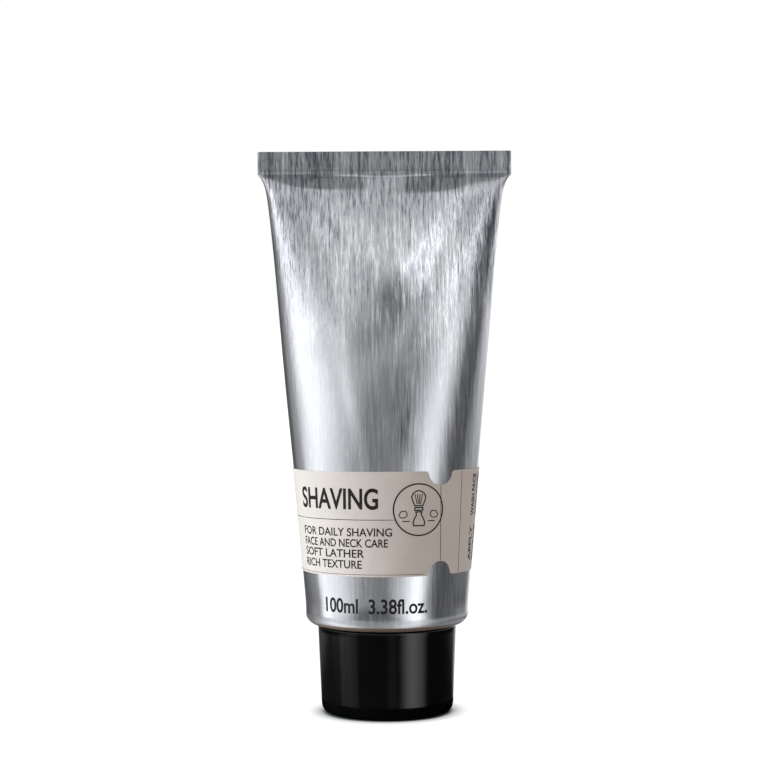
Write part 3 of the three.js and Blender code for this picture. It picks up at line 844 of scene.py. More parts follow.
class Sheet:
    """A flat shape in web places that becomes a thin closed slab on the sleeve."""

    def __init__(self) -> None:
        """Starts empty."""
        self.bm = bmesh.new()

    def polygon(self, points: Sequence[Point]) -> None:
        """Adds one filled polygon, listed anticlockwise."""
        self.bm.faces.new([self.bm.verts.new((u, v, 0)) for u, v in points])

    def box(self, left: float, low: float, right: float, high: float) -> None:
        """Adds an upright rectangle."""
        self.polygon([(left, low), (right, low), (right, high), (left, high)])

    def stroke(self, points: Sequence[Point], width: float, closed: bool = False) -> None:
        """Adds a line of even width, mitred at its corners.

        Args:
            points: The line's places.
            width: Its width.
            closed: Whether it runs back to its start.
        """
        line = np.asarray(points, float)
        count = len(line)
        sides = []
        for i in range(count):
            before = line[i] - line[i - 1] if i or closed else line[1] - line[0]
            after = line[(i + 1) % count] - line[i] if i + 1 < count or closed else before
            turn = [d / max(np.linalg.norm(d), 1e-9) for d in (before, after)]
            normals = [np.array([-d[1], d[0]]) for d in turn]
            miter = normals[0] + normals[1]
            miter *= width / max(float(miter @ miter), 0.8)
            sides.append([self.bm.verts.new((*(line[i] + way * miter), 0)) for way in (-1, 1)])
        for i in range(count if closed else count - 1):
            (a, b), (c, d) = sides[i], sides[(i + 1) % count]
            self.bm.faces.new([a, c, d, b])

    def ring(self, u: float, v: float, radius: float, width: float, steps: int = 96) -> None:
        """Adds a circle's outline."""
        angles = np.arange(steps) * 2 * math.pi / steps
        points = [(u + radius * math.cos(a), v + radius * math.sin(a)) for a in angles]
        self.stroke(points, width, closed=True)

    def words(self, text: str, left: float, low: float, right: float, high: float, weight: float = 0.0,
              upwards: bool = False) -> None:
        """Adds lettering that fills a box.

        Args:
            text: What it says.
            left: The box's left side.
            low: The capitals' feet.
            right: Its right side.
            high: The capitals' tops.
            weight: How much to thicken the strokes, as a share of the letters' size.
            upwards: Whether the line runs up the label. The box is then given before its quarter
                turn about the web's origin.
        """
        curve = bpy.data.curves.new("lettering", "FONT")
        curve.resolution_u = 5
        curve.offset = weight
        holder = bpy.data.objects.new("lettering", curve)
        bpy.context.scene.collection.objects.link(holder)

        def shaped(body: str) -> bpy.types.Mesh:
            """The letters of a text as a mesh."""
            curve.body = body
            bpy.context.view_layer.update()
            return bpy.data.meshes.new_from_object(holder)

        mesh, capital = shaped(text), shaped("H")
        co = np.array([v.co[:2] for v in mesh.vertices])
        x0, x1 = co[:, 0].min(), co[:, 0].max()
        co[:, 0] = left + (co[:, 0] - x0) / (x1 - x0) * (right - left)
        co[:, 1] = low + co[:, 1] / max(v.co.y for v in capital.vertices) * (high - low)
        if upwards:
            co = np.column_stack([-co[:, 1], co[:, 0]])
        verts = [self.bm.verts.new((*p, 0)) for p in co]
        for face in mesh.polygons:
            self.bm.faces.new([verts[i] for i in face.vertices])
        bpy.data.objects.remove(holder)
        bpy.data.curves.remove(curve)
        for spent in (mesh, capital):
            bpy.data.meshes.remove(spent)

    def greeked(self, left: float, low: float, right: float, high: float, words: Sequence[int],
                seed: int) -> None:
        """Adds a line of made-up marks that stands for small print and can't be read.

        Args:
            left: The line's left side.
            low: The marks' feet.
            right: Its right side.
            high: The marks' tops.
            words: How many marks each word has.
            seed: Picks the marks.
        """
        rng = np.random.default_rng(seed)
        columns, rows, gap, space = 4, 7, 1.4, 3.4
        total = sum(words) * (columns + gap) + (len(words) - 1) * space - gap
        cell_u, cell_v = (right - left) / total, (high - low) / rows
        cursor = 0.0
        for count in words:
            for _ in range(count):
                grid = self._mark(rng, columns, rows)
                known: dict[tuple[int, int], bmesh.types.BMVert] = {}
                for r, c in np.argwhere(grid):
                    corners = []
                    for dc, dr in ((0, 0), (1, 0), (1, 1), (0, 1)):
                        key = (int(c) + dc, int(r) + dr)
                        if key not in known:
                            place = (left + (cursor + key[0]) * cell_u, low + key[1] * cell_v, 0)
                            known[key] = self.bm.verts.new(place)
                        corners.append(known[key])
                    self.bm.faces.new(corners)
                cursor += columns + gap
            cursor += space

    @staticmethod
    def _mark(rng: np.random.Generator, columns: int, rows: int) -> np.ndarray:
        """One made-up mark as a grid of filled cells, bottom row first."""
        grid = np.zeros((rows, columns), bool)
        left, right = rng.random() < 0.75, rng.random() < 0.65
        bars = rng.random(3) < (0.6, 0.5, 0.6)
        grid[:, 0] = left or not right
        grid[:, -1] = right
        for bar, row in zip(bars, (0, rows // 2, rows - 1)):
            grid[row, :] |= bool(bar)
        if not bars.any():
            grid[rng.integers(0, rows), :] = True
        return grid

    def slab(self, name: str, shape: WebShape, low: float, high: float, step_u: float = 0.7,
             step_v: float = 2.5) -> Piece:
        """Cuts the shape fine enough to bend and wraps it onto the sleeve.

        Args:
            name: The piece's name.
            shape: The sleeve.
            low: The slab's underside, off the sleeve's surface.
            high: Its outer face.
            step_u: Longest chord across the web.
            step_v: Longest chord along it.

        Returns:
            The closed slab.
        """
        bm = self.bm
        bmesh.ops.remove_doubles(bm, verts=bm.verts, dist=1e-4)
        co = np.array([v.co for v in bm.verts])
        for axis, step in ((0, step_u), (1, step_v)):
            start = math.floor(co[:, axis].min() / step) + 1
            for k in range(start, math.ceil(co[:, axis].max() / step)):
                at, normal = [0.0, 0.0, 0.0], [0.0, 0.0, 0.0]
                at[axis], normal[axis] = k * step + 0.0137, 1.0
                bmesh.ops.bisect_plane(bm, geom=bm.verts[:] + bm.edges[:] + bm.faces[:], plane_co=at,
                                       plane_no=normal, dist=1e-5)
        bmesh.ops.triangulate(bm, faces=bm.faces[:])
        for face in bm.faces:
            if face.normal.z < 0:
                face.normal_flip()
        bm.verts.index_update()
        flat = np.array([v.co[:2] for v in bm.verts])
        count = len(flat)
        points = np.vstack([shape.place(flat[:, 0], flat[:, 1], lift) for lift in (low, high)])
        faces: list[list[int]] = []
        for face in bm.faces:
            corners = [v.index for v in face.verts]
            faces.append([c + count for c in corners])
            faces.append(corners[::-1])
        for edge in bm.edges:
            if len(edge.link_loops) == 1:
                loop = edge.link_loops[0]
                a, b = loop.vert.index, loop.link_loop_next.vert.index
                faces.append([b + count, a + count, a, b])
        bm.free()
        return add_mesh(name, points, faces)


# ---- sub-assemblies


@dataclass
class Sleeve:
    """The laminate sleeve, open over the shoulder and welded flat at the top."""

    shape: WebShape
    wall: float = 0.4
    corner_round: float = 2.6
    corner_z: float = 24.5
    corner_radius: float = 17.4
    edge_angle: float = 57.0
    seam_width: float = 2.4
    seam_rise: float = 0.05
    body_rows: int = 190
    quarter_columns: int = 64

    def columns(self) -> np.ndarray:
        """Web places of the mesh's columns, from the back round the front, close at the narrow ends."""
        q = self.shape.quarter
        d = q * (np.arange(self.quarter_columns + 1) / self.quarter_columns) ** 1.5
        return np.concatenate([-(q + d[::-1]), -(q - d[1:]), (q - d[::-1])[1:], (q + d[1:-1])])

    def _seam(self, u: np.ndarray) -> np.ndarray:
        """The lap of the web's two edges, down the back."""
        from_back = self.shape.width / 2 - np.abs(u)
        side = np.where(u > 0, from_back, -from_back)
        rise = np.clip((self.seam_width - np.abs(side)) / 0.25, 0, 1)
        return self.seam_rise * rise

    def _heights(self) -> np.ndarray:
        """Heights of the outer rows above the corner, closest near the seal."""
        s = self.shape
        t = np.linspace(0, 1, self.body_rows)
        body = s.body_start_z + s.body_length * (1 - (1 - t) ** 1.35)
        line = np.array([0.25, 0.45, 0.6, 0.85, 1.0, 1.2])
        seal = np.concatenate([s.seal_z + line, np.linspace(s.seal_z + 1.6, s.top_z - 0.08, 10)])
        return np.concatenate([[self.corner_z + 0.5, self.corner_z + 1.2], body, seal])

    def build(self) -> Piece:
        """Makes the sleeve.

        Returns:
            The piece, dressed.
        """
        s, u = self.shape, self.columns()
        count = len(u)
        angle = u / s.radius  # round the pipe from the front
        circle = np.column_stack([np.sin(angle), -np.cos(angle)])
        rings: list[np.ndarray] = []
        lengths: list[float] = []

        def add_ring(xyz: np.ndarray, v: float) -> None:
            """Keeps a ring and the web height that it has on the map."""
            rings.append(xyz)
            lengths.append(v)

        inner = np.linspace(s.seal_z - 14.0, s.body_start_z, 14)
        for z in inner:
            add_ring(s.place(u, np.full(count, z), -self.wall), z)
        rolled = arc(self.corner_radius, self.corner_z, self.corner_round - self.wall, 90, self.edge_angle, 4)
        rolled += arc(self.corner_radius, self.corner_z, self.corner_round, self.edge_angle, 90, 26)
        for r, z in rolled:
            add_ring(np.column_stack([circle * r, np.full(count, z)]), z)
        seam = self._seam(u)
        for z in self._heights():
            heat_line = 0.035 * math.exp(-(((z - s.seal_z - 0.7) / 0.22) ** 2))
            points = s.place(u, np.full(count, z), 0.0)
            lifted = s.place(u, np.full(count, z), 1.0)
            fade = min(1.0, max(0.0, (s.seal_z - 1.0 - z) / 4.0))
            points = points + (lifted - points) * (seam * fade - heat_line * (z > s.seal_z))[:, None]
            add_ring(points, z)
        rim = s.place(u, np.full(count, s.top_z), -0.06)
        rim[:, 2] = s.top_z
        add_ring(rim, s.top_z)

        points = np.vstack(rings)
        faces, coords = [], []
        web = np.append(u, s.width / 2)
        for r in range(len(rings) - 1):
            for k in range(count):
                m = (k + 1) % count
                faces.append([r * count + k, r * count + m, (r + 1) * count + m, (r + 1) * count + k])
                v0, v1 = lengths[r], lengths[r + 1]
                coords += [(web[k], v0), (web[k + 1], v0), (web[k + 1], v1), (web[k], v1)]
        n = self.quarter_columns
        for base, flip in ((0, True), ((len(rings) - 1) * count, False)):
            for side in (n, 3 * n):  # the two narrow ends
                for i in range(n):
                    a, b = base + (side - i) % count, base + (side + i) % count
                    c, d = base + (side + i + 1) % count, base + (side - i - 1) % count
                    quad = list(dict.fromkeys([a, b, c, d]))
                    faces.append(quad[::-1] if flip else quad)
                    coords += [(web[0], lengths[0] if flip else lengths[-1])] * len(quad)
        piece = add_mesh("tube_sleeve_skin", points, faces, 14)
        layer = piece.data.uv_layers.new(name=WEB_UV)
        layer.data.foreach_set("uv", (np.array(coords, np.float32) * 0.01).ravel())
        return mount(piece, Body.TUBE, "brushed_laminate", BrushedLaminate(), "tube_sleeve")


@dataclass
class WrapLabel:
    """The ticket-shaped label and its print."""

    shape: WebShape
    bottom: float = 35.4
    height: float = 25.0
    reach: float = 53.0
    notch_at: float = 13.5
    notch_depth: float = 3.4
    notch_radius: float = 3.1
    notch_lip: float = 1.0
    under: float = 0.04
    thickness: float = 0.12
    ink: float = 0.025
    title: str = "SHAVING"
    lines: tuple[tuple[str, float, float], ...] = (  # what each says, its middle height and its right end
        ("FOR DAILY SHAVING", 46.0, 1.3), ("FACE AND NECK CARE", 43.4, 0.3),
        ("SOFT LATHER", 40.9, -5.4), ("RICH TEXTURE", 38.3, -6.0))
    stub: tuple[tuple[float, str, str], ...] = (  # lines that run up the stub
        (-26.0, "WASH FACE", "APPLY"), (-29.0, "RICH LATHER", "SHAVE"))

    def _notch(self, top: bool) -> list[Point]:
        """One notch's outline, from left to right along the top edge or right to left along the bottom."""
        arc_y = self.notch_radius - self.notch_depth
        drop = -self.notch_lip - arc_y
        lip_x = math.sqrt((self.notch_radius + self.notch_lip) ** 2 - drop**2)
        meet = math.atan2(-drop, lip_x)

        def bow(cx: float, cy: float, radius: float, start: float, end: float, steps: int) -> list[Point]:
            """Points on an arc."""
            angles = np.linspace(start, end, steps)
            return [(cx + radius * math.cos(a), cy + radius * math.sin(a)) for a in angles]

        left = bow(-lip_x, -self.notch_lip, self.notch_lip, math.pi / 2, meet, 9)
        dip = bow(0.0, arc_y, self.notch_radius, math.pi + meet, 2 * math.pi - meet, 26)
        right = bow(lip_x, -self.notch_lip, self.notch_lip, math.pi - meet, math.pi / 2, 9)
        points = left + dip[1:-1] + right
        edge = self.bottom + self.height if top else self.bottom
        if top:
            return [(self.notch_at + x, edge + y) for x, y in points]
        return [(self.notch_at - x, edge - y) for x, y in points]

    def _paper(self) -> Piece:
        """The paper with its two notches."""
        sheet = Sheet()
        low, high = self.bottom, self.bottom + self.height
        outline = [(-self.reach, low)] + self._notch(False)[::-1] + [(self.reach, low), (self.reach, high)]
        outline += self._notch(True)[::-1] + [(-self.reach, high)]
        sheet.polygon(outline)
        piece = sheet.slab("wrap_label_paper", self.shape, self.under, self.under + self.thickness, 0.7, 1.5)
        return mount(piece, Body.TUBE, "label_paper", LabelPaper(), "wrap_label")

    def _brush_mark(self, sheet: Sheet, u: float, v: float, size: float) -> None:
        """A plain drawing of a shaving brush in a ring.

        Args:
            sheet: Where it goes.
            u: Its middle across the web.
            v: Its middle's height.
            size: The ring's radius.
        """
        k = size / 6.2
        line = 0.3 * k

        def draw(points: Sequence[Point], width: float = line, closed: bool = True) -> None:
            """Adds a line of the drawing, whose own ring has a radius of 6.2."""
            sheet.stroke([(u + k * x, v + k * y) for x, y in points], width, closed)

        sheet.ring(u, v, size, 0.34)
        handle = [(-0.75, -0.55), (-0.6, -1.3), (-1.1, -2.1), (-1.45, -3.1), (-1.3, -3.85), (1.3, -3.85),
                  (1.45, -3.1), (1.1, -2.1), (0.6, -1.3), (0.75, -0.55)]
        draw(handle)
        draw(((-1.0, -0.15), (1.0, -0.15), (1.0, 0.5), (-1.0, 0.5)))
        bristles = [(-1.0, 0.95), (-1.55, 2.2), (-1.75, 3.2), (-1.3, 4.0), (-0.6, 4.45), (0.0, 4.6),
                    (0.6, 4.45), (1.3, 4.0), (1.75, 3.2), (1.55, 2.2), (1.0, 0.95)]
        draw(bristles)
        for lean in (-0.62, -0.2, 0.2, 0.62):
            draw(((lean * 0.7, 1.35), (lean * 1.5, 3.75)), 0.7 * line, closed=False)
        foam = ((4.9, -1.2), (4.3, -0.35), (3.3, -0.3), (2.8, -1.15), (3.4, -1.9), (4.5, -1.9))
        for side in (-1, 1):
            draw([(side * x, y) for x, y in foam], 0.75 * line)
        for ends in ((-4.1, -2.2), (2.2, 4.1)):
            draw([(x, -2.75) for x in ends], 0.8 * line, closed=False)

    def _print(self) -> Piece:
        """Everything printed on the label."""
        sheet = Sheet()
        low, high = self.bottom, self.bottom + self.height
        sheet.words(self.title, -23.2, 51.55, -2.0, 56.4, 0.02)
        self._brush_mark(sheet, 7.8, 51.3, 6.15)
        sheet.box(-40.0, 48.86, 1.75, 49.0)
        for text, middle, right in self.lines:
            sheet.words(text, -23.3, middle - 0.95, right, middle + 0.95, 0.012)
        tear = self.notch_at
        sheet.box(tear - 0.07, low + self.notch_depth + 0.1, tear + 0.07, high - self.notch_depth - 0.1)
        sheet.box(19.6, low + 0.12, 19.72, high - 0.12)
        sheet.box(-40.0, low + 0.45, tear - 4.6, low + 0.55)
        for feet, upper, lower in self.stub:
            sheet.words(upper, 48.9, feet, 59.2, feet + 1.7, 0.03, upwards=True)
            sheet.words(lower, 37.8, feet, 46.4, feet + 1.7, 0.03, upwards=True)
        for row in range(9):
            feet = 57.2 - 2.2 * row
            tops = 58.2 - 2.2 * row
            for column in range(2):
                start = 33.2 + 9.4 * column
                sheet.greeked(start, feet, start + 8.4, tops, (4, 6, 3), 90 + 2 * row + column)
            sheet.greeked(-50.5, feet, -33.5, tops, (5, 3, 7, 4, 6), 140 + row)
        face = self.under + self.thickness
        piece = sheet.slab("wrap_label_print", self.shape, face + 0.004, face + self.ink, 0.8, 3.0)
        return mount(piece, Body.TUBE, "label_paper", PrintInk())

    def build(self) -> list[Piece]:
        """Makes the label.

        Returns:
            The paper and its print.
        """
        return [self._paper(), self._print()]


@dataclass
class SleevePrint:
    """The volume, printed straight on the metal below the label."""

    shape: WebShape
    left: float = -16.4
    right: float = 10.0
    feet: float = 26.7
    tops: float = 30.1
    under: float = 0.004
    ink: float = 0.03

    def build(self) -> Piece:
        """Makes the lettering.

        Returns:
            The piece.
        """
        sheet = Sheet()
        sheet.words("100ml  3.38fl.oz.", self.left, self.feet, self.right, self.tops, 0.02)
        piece = sheet.slab("sleeve_volume_print", self.shape, self.under, self.ink, 0.6, 3.0)
        return mount(piece, Body.TUBE, "brushed_laminate", SLEEVE_INK)


@dataclass
class Shoulder:
    """The shoulder and its threaded neck, one moulding."""

    z: float = 21.9
    corner_radius: float = 17.4
    corner_z: float = 24.5
    corner_round: float = 2.6
    sleeve_wall: float = 0.4
    bond: float = 0.05
    edge_angle: float = 55.9
    neck_radius: float = 6.8
    tip_z: float = 12.9
    bore: float = 5.2
    orifice: float = 2.5
    tip_wall: float = 1.2
    floor: float = 1.5
    skirt_top: float = 26.45
    skirt_inner: float = 18.35
    thread: Helix = Helix()

    def build(self) -> Piece:
        """Makes the moulding.

        Returns:
            The piece, dressed.
        """
        fillet, chamfer = 0.5, 0.4
        covered = self.corner_round - self.sleeve_wall - self.bond
        floor_z = self.z + self.floor
        neck_top = self.z - fillet
        profile = [(self.orifice, self.tip_z + 0.1), (self.orifice + 0.1, self.tip_z)]
        profile += span(profile[-1], (self.neck_radius - chamfer, self.tip_z), 3)
        profile += arc(self.neck_radius - chamfer, self.tip_z + chamfer, chamfer, 12, 90, 5)
        profile += span((self.neck_radius, self.tip_z + chamfer), (self.neck_radius, neck_top), 88)
        profile += [(self.neck_radius + fillet * (1 - math.cos(a)), neck_top + fillet * math.sin(a))
                    for a in np.radians(np.linspace(18, 90, 5))]
        profile += span((self.neck_radius + fillet, self.z), (16.2, self.z), 4)
        bonded = self.corner_round - self.bond
        profile += arc(self.corner_radius, self.corner_z, bonded, 0, self.edge_angle, 10)
        profile += arc(self.corner_radius, self.corner_z, covered, self.edge_angle, 90, 6)
        profile += [(self.corner_radius + covered, self.skirt_top), (self.skirt_inner, self.skirt_top),
                    (self.skirt_inner, floor_z + self.floor), (self.skirt_inner - self.floor, floor_z),
                    (self.bore, floor_z), (self.bore, self.tip_z + self.tip_wall),
                    (self.orifice, self.tip_z + self.tip_wall)]

        def ridge(angles: np.ndarray, at: np.ndarray) -> np.ndarray:
            """The thread, on the neck's outside only."""
            if abs(at[0] - self.neck_radius) > 1e-6:
                return np.zeros_like(angles)
            return self.thread.at(angles, at[1])

        piece = turned("shoulder_neck_moulding", profile, 176, ridge)
        return mount(piece, Body.TUBE, "shoulder_plastic", SHOULDER_PLASTIC, "shoulder_neck")


@dataclass
class FoilSeal:
    """The peel-off foil over the orifice, with its pull tab."""

    top: float = 12.85
    thickness: float = 0.15
    radius: float = 6.75
    tab_radius: float = 5.9
    tab_thickness: float = 0.1

    def build(self) -> Piece:
        """Makes the foil.

        Returns:
            The piece, dressed.
        """
        low = self.top - self.thickness
        disc = turned("foil_seal_disc", [(0.0, low), *span((0.0, low), (self.radius - 0.06, low), 12),
                                         (self.radius, low + 0.05), (self.radius, self.top - 0.05),
                                         (self.radius - 0.06, self.top), (0.0, self.top)], 120)
        tab_top, tab_low = low - 0.05, low - 0.05 - self.tab_thickness
        angles = np.linspace(math.pi, 2 * math.pi, 41)
        outline = [(self.tab_radius * math.cos(a), self.tab_radius * math.sin(a)) for a in angles]
        count = len(outline)
        points = [(x, y, z) for z in (tab_low, tab_top) for x, y in outline]
        faces = [list(range(count))[::-1], list(range(count, 2 * count))]
        faces += [[k, (k + 1) % count, (k + 1) % count + count, k + count] for k in range(count)]
        tab = add_mesh("foil_seal_tab", np.array(points), faces)
        mount(tab, Body.TUBE, "seal_foil", Foil())
        return mount(disc, Body.TUBE, "seal_foil", Foil(), "foil_seal")


@dataclass
class CapShell:
    """The cap's outer shell: a gloss cup with draft."""

    height: float = 21.6
    rim_radius: float = 17.05
    foot_radius: float = 16.2
    fillet: float = 2.0
    wall: float = 1.4
    floor: float = 1.6
    rim_round: float = 0.3
    dish: float = 0.22  # how far the foot's middle is hollowed

    def radius_at(self, z: float) -> float:
        """Its outer radius at a height, before the foot is rounded."""
        return self.foot_radius + (self.rim_radius - self.foot_radius) * z / self.height

    def build(self) -> Piece:
        """Makes the shell.

        Returns:
            The piece, dressed.
        """
        foot, dish = self.foot_radius - self.fillet, self.dish
        profile = [(0.0, dish + 0.12), (0.7, dish + 0.12), (0.9, dish)]
        profile += span((0.9, dish), (foot - 2.4, dish), 6)
        profile += [(foot - 2.1, dish - 0.06), (foot - 1.8, 0.03), (foot - 1.5, 0.0), (foot - 0.6, 0.0)]
        profile += arc(foot, self.fillet, self.fillet, 0, 87.7, 14)
        start = (self.radius_at(self.fillet + 0.2), self.fillet + 0.2)
        shoulder = self.height - self.rim_round
        profile += [start, *span(start, (self.radius_at(shoulder), shoulder), 16)]
        profile += arc(self.rim_radius - self.rim_round, shoulder, self.rim_round, 100, 180, 5)
        inner = self.rim_radius - self.wall
        profile += [(inner + 0.15, self.height), (inner, self.height - 0.15)]
        low = (self.radius_at(self.floor + 1) - self.wall, self.floor + 1)
        profile += span((inner, self.height - 0.15), low, 6)
        profile += [(self.radius_at(self.floor) - self.wall - 1, self.floor), (0.0, self.floor)]
        piece = turned("cap_shell_gloss", profile, 200)
        return mount(piece, Body.CAP, "cap_gloss", CAP_GLOSS, "cap_shell")


@dataclass
class CapInsert:
    """The threaded socket pressed into the shell, with its flange and ribs."""

    shell: CapShell
    bore: float = 7.95
    outer: float = 9.3
    plate_top: float = 11.2
    plate: float = 1.3
    flange_top: float = 21.1
    flange: float = 1.2
    press_gap: float = 0.15
    mouth: float = 0.4
    ribs: int = 6
    rib_thickness: float = 1.0
    rib_start: float = 3.1  # from the axis
    thread: Helix = Helix(height=-0.9, first_angle=math.pi, turns=1.75)

    def _ribs(self) -> tuple[np.ndarray, list[list[int]]]:
        """The ribs as closed plates between the socket and the shell."""
        low, high = self.shell.floor + 0.3, self.flange_top - self.flange - 0.02
        reach = [self.shell.radius_at(z) - self.shell.wall - 0.25 for z in (low, low + 1.6, high)]
        root, under = self.outer - 0.2, self.plate_top - self.plate - 0.02
        side = [(self.rib_start, low), (reach[0] - 1.6, low), (reach[1], low + 1.6), (reach[2], high),
                (root, high), (root, under), (self.rib_start, under)]
        n = len(side)
        points, faces = [], []
        for i in range(self.ribs):
            a = 2 * math.pi * i / self.ribs
            ca, sa = math.cos(a), math.sin(a)
            base = len(points)
            for offset in (-self.rib_thickness / 2, self.rib_thickness / 2):
                points += [(r * ca - offset * sa, r * sa + offset * ca, z) for r, z in side]
            faces.append([base + k for k in range(n)])
            faces.append([base + n + k for k in range(n)][::-1])
            faces += [[base + k, base + n + k, base + n + (k + 1) % n, base + (k + 1) % n] for k in range(n)]
        return np.array(points), faces

    def build(self) -> Piece:
        """Makes the insert.

        Returns:
            The piece, dressed.
        """
        low = self.plate_top - self.plate
        shelf = self.flange_top - self.flange

        def seat(z: float) -> float:
            """The flange's edge, which follows the shell's draft."""
            return self.shell.radius_at(z) - self.shell.wall - self.press_gap

        edge = 0.2
        lip = (seat(self.flange_top) - edge, self.flange_top)
        profile = [(0.0, low), (self.outer, low), (self.outer, shelf), (seat(shelf), shelf),
                   (seat(self.flange_top - edge), self.flange_top - edge), lip]
        mouth = self.bore + self.mouth
        profile += span(lip, (mouth + 0.1, self.flange_top), 6)
        profile += [(mouth, self.flange_top - 0.05), (self.bore, self.flange_top - self.mouth)]
        profile += span((self.bore, self.flange_top - self.mouth), (self.bore, self.plate_top + 0.2), 92)
        profile += [(self.bore - 0.2, self.plate_top), (0.0, self.plate_top)]

        def ridge(angles: np.ndarray, at: np.ndarray) -> np.ndarray:
            """The thread, in the bore only."""
            if abs(at[0] - self.bore) > 1e-6:
                return np.zeros_like(angles)
            return self.thread.at(angles, at[1])

        piece = turned("cap_thread_insert_moulding", profile, 176, ridge)
        rib_points, rib_faces = self._ribs()
        ribs = add_mesh("cap_insert_ribs", rib_points, rib_faces)
        mount(ribs, Body.CAP, "insert_plastic", INSERT_PLASTIC)
        return mount(piece, Body.CAP, "insert_plastic", INSERT_PLASTIC, "cap_thread_insert")


@dataclass
class CapLiner:
    """The foam disc in the cap, with the ring that the neck has pressed into it."""

    low: float = 11.25
    top: float = 12.45
    radius: float = 7.65
    round: float = 0.2
    dent: float = 0.12

    def build(self) -> Piece:
        """Makes the liner.

        Returns:
            The piece, dressed.
        """
        r = self.round
        profile = [(0.0, self.low), *span((0.0, self.low), (self.radius - r, self.low), 6)]
        profile += arc(self.radius - r, self.low + r, r, 20, 90, 4)
        profile += arc(self.radius - r, self.top - r, r, 90, 180, 5)
        for inward, depth in ((0.75, 0.0), (0.9, 0.6), (1.05, 1.0), (4.9, 1.0), (5.1, 0.5), (5.3, 0.0)):
            profile.append((self.radius - inward, self.top - self.dent * depth))
        profile += [(1.0, self.top), (0.0, self.top)]
        piece = turned("cap_liner_foam", profile, 120)
        return mount(piece, Body.LIFT, "liner_foam", Foam(), "cap_liner")


def dress_hidden_nodes() -> None:
    """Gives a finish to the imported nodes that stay: the barrier disc and the cream."""
    for node, finish in (("barrier_rondel", BARRIER_FOIL), ("cream_fill", Cream())):
        finish.dress(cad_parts[node])
        log.info("%s: dressed as %s", node, finish.name)


# ---- studio


@dataclass(frozen=True)
class Panel:
    """One soft light panel, or a black flag if its strength is below 0, as the tube sees it.

    Angles are in degrees. Azimuth is 0 towards the front and grows towards +X.
    """

    azimuth: float
    half_width: float
    elevation: float
    half_height: float
    strength: float
    soft_left: float = 8.0  # how wide its edges are, here and below
    soft_right: float = 8.0
    tilt: float = 0.0  # degrees of azimuth that it leans for each degree of elevation
    fade: float = 8.0  # at its top and bottom


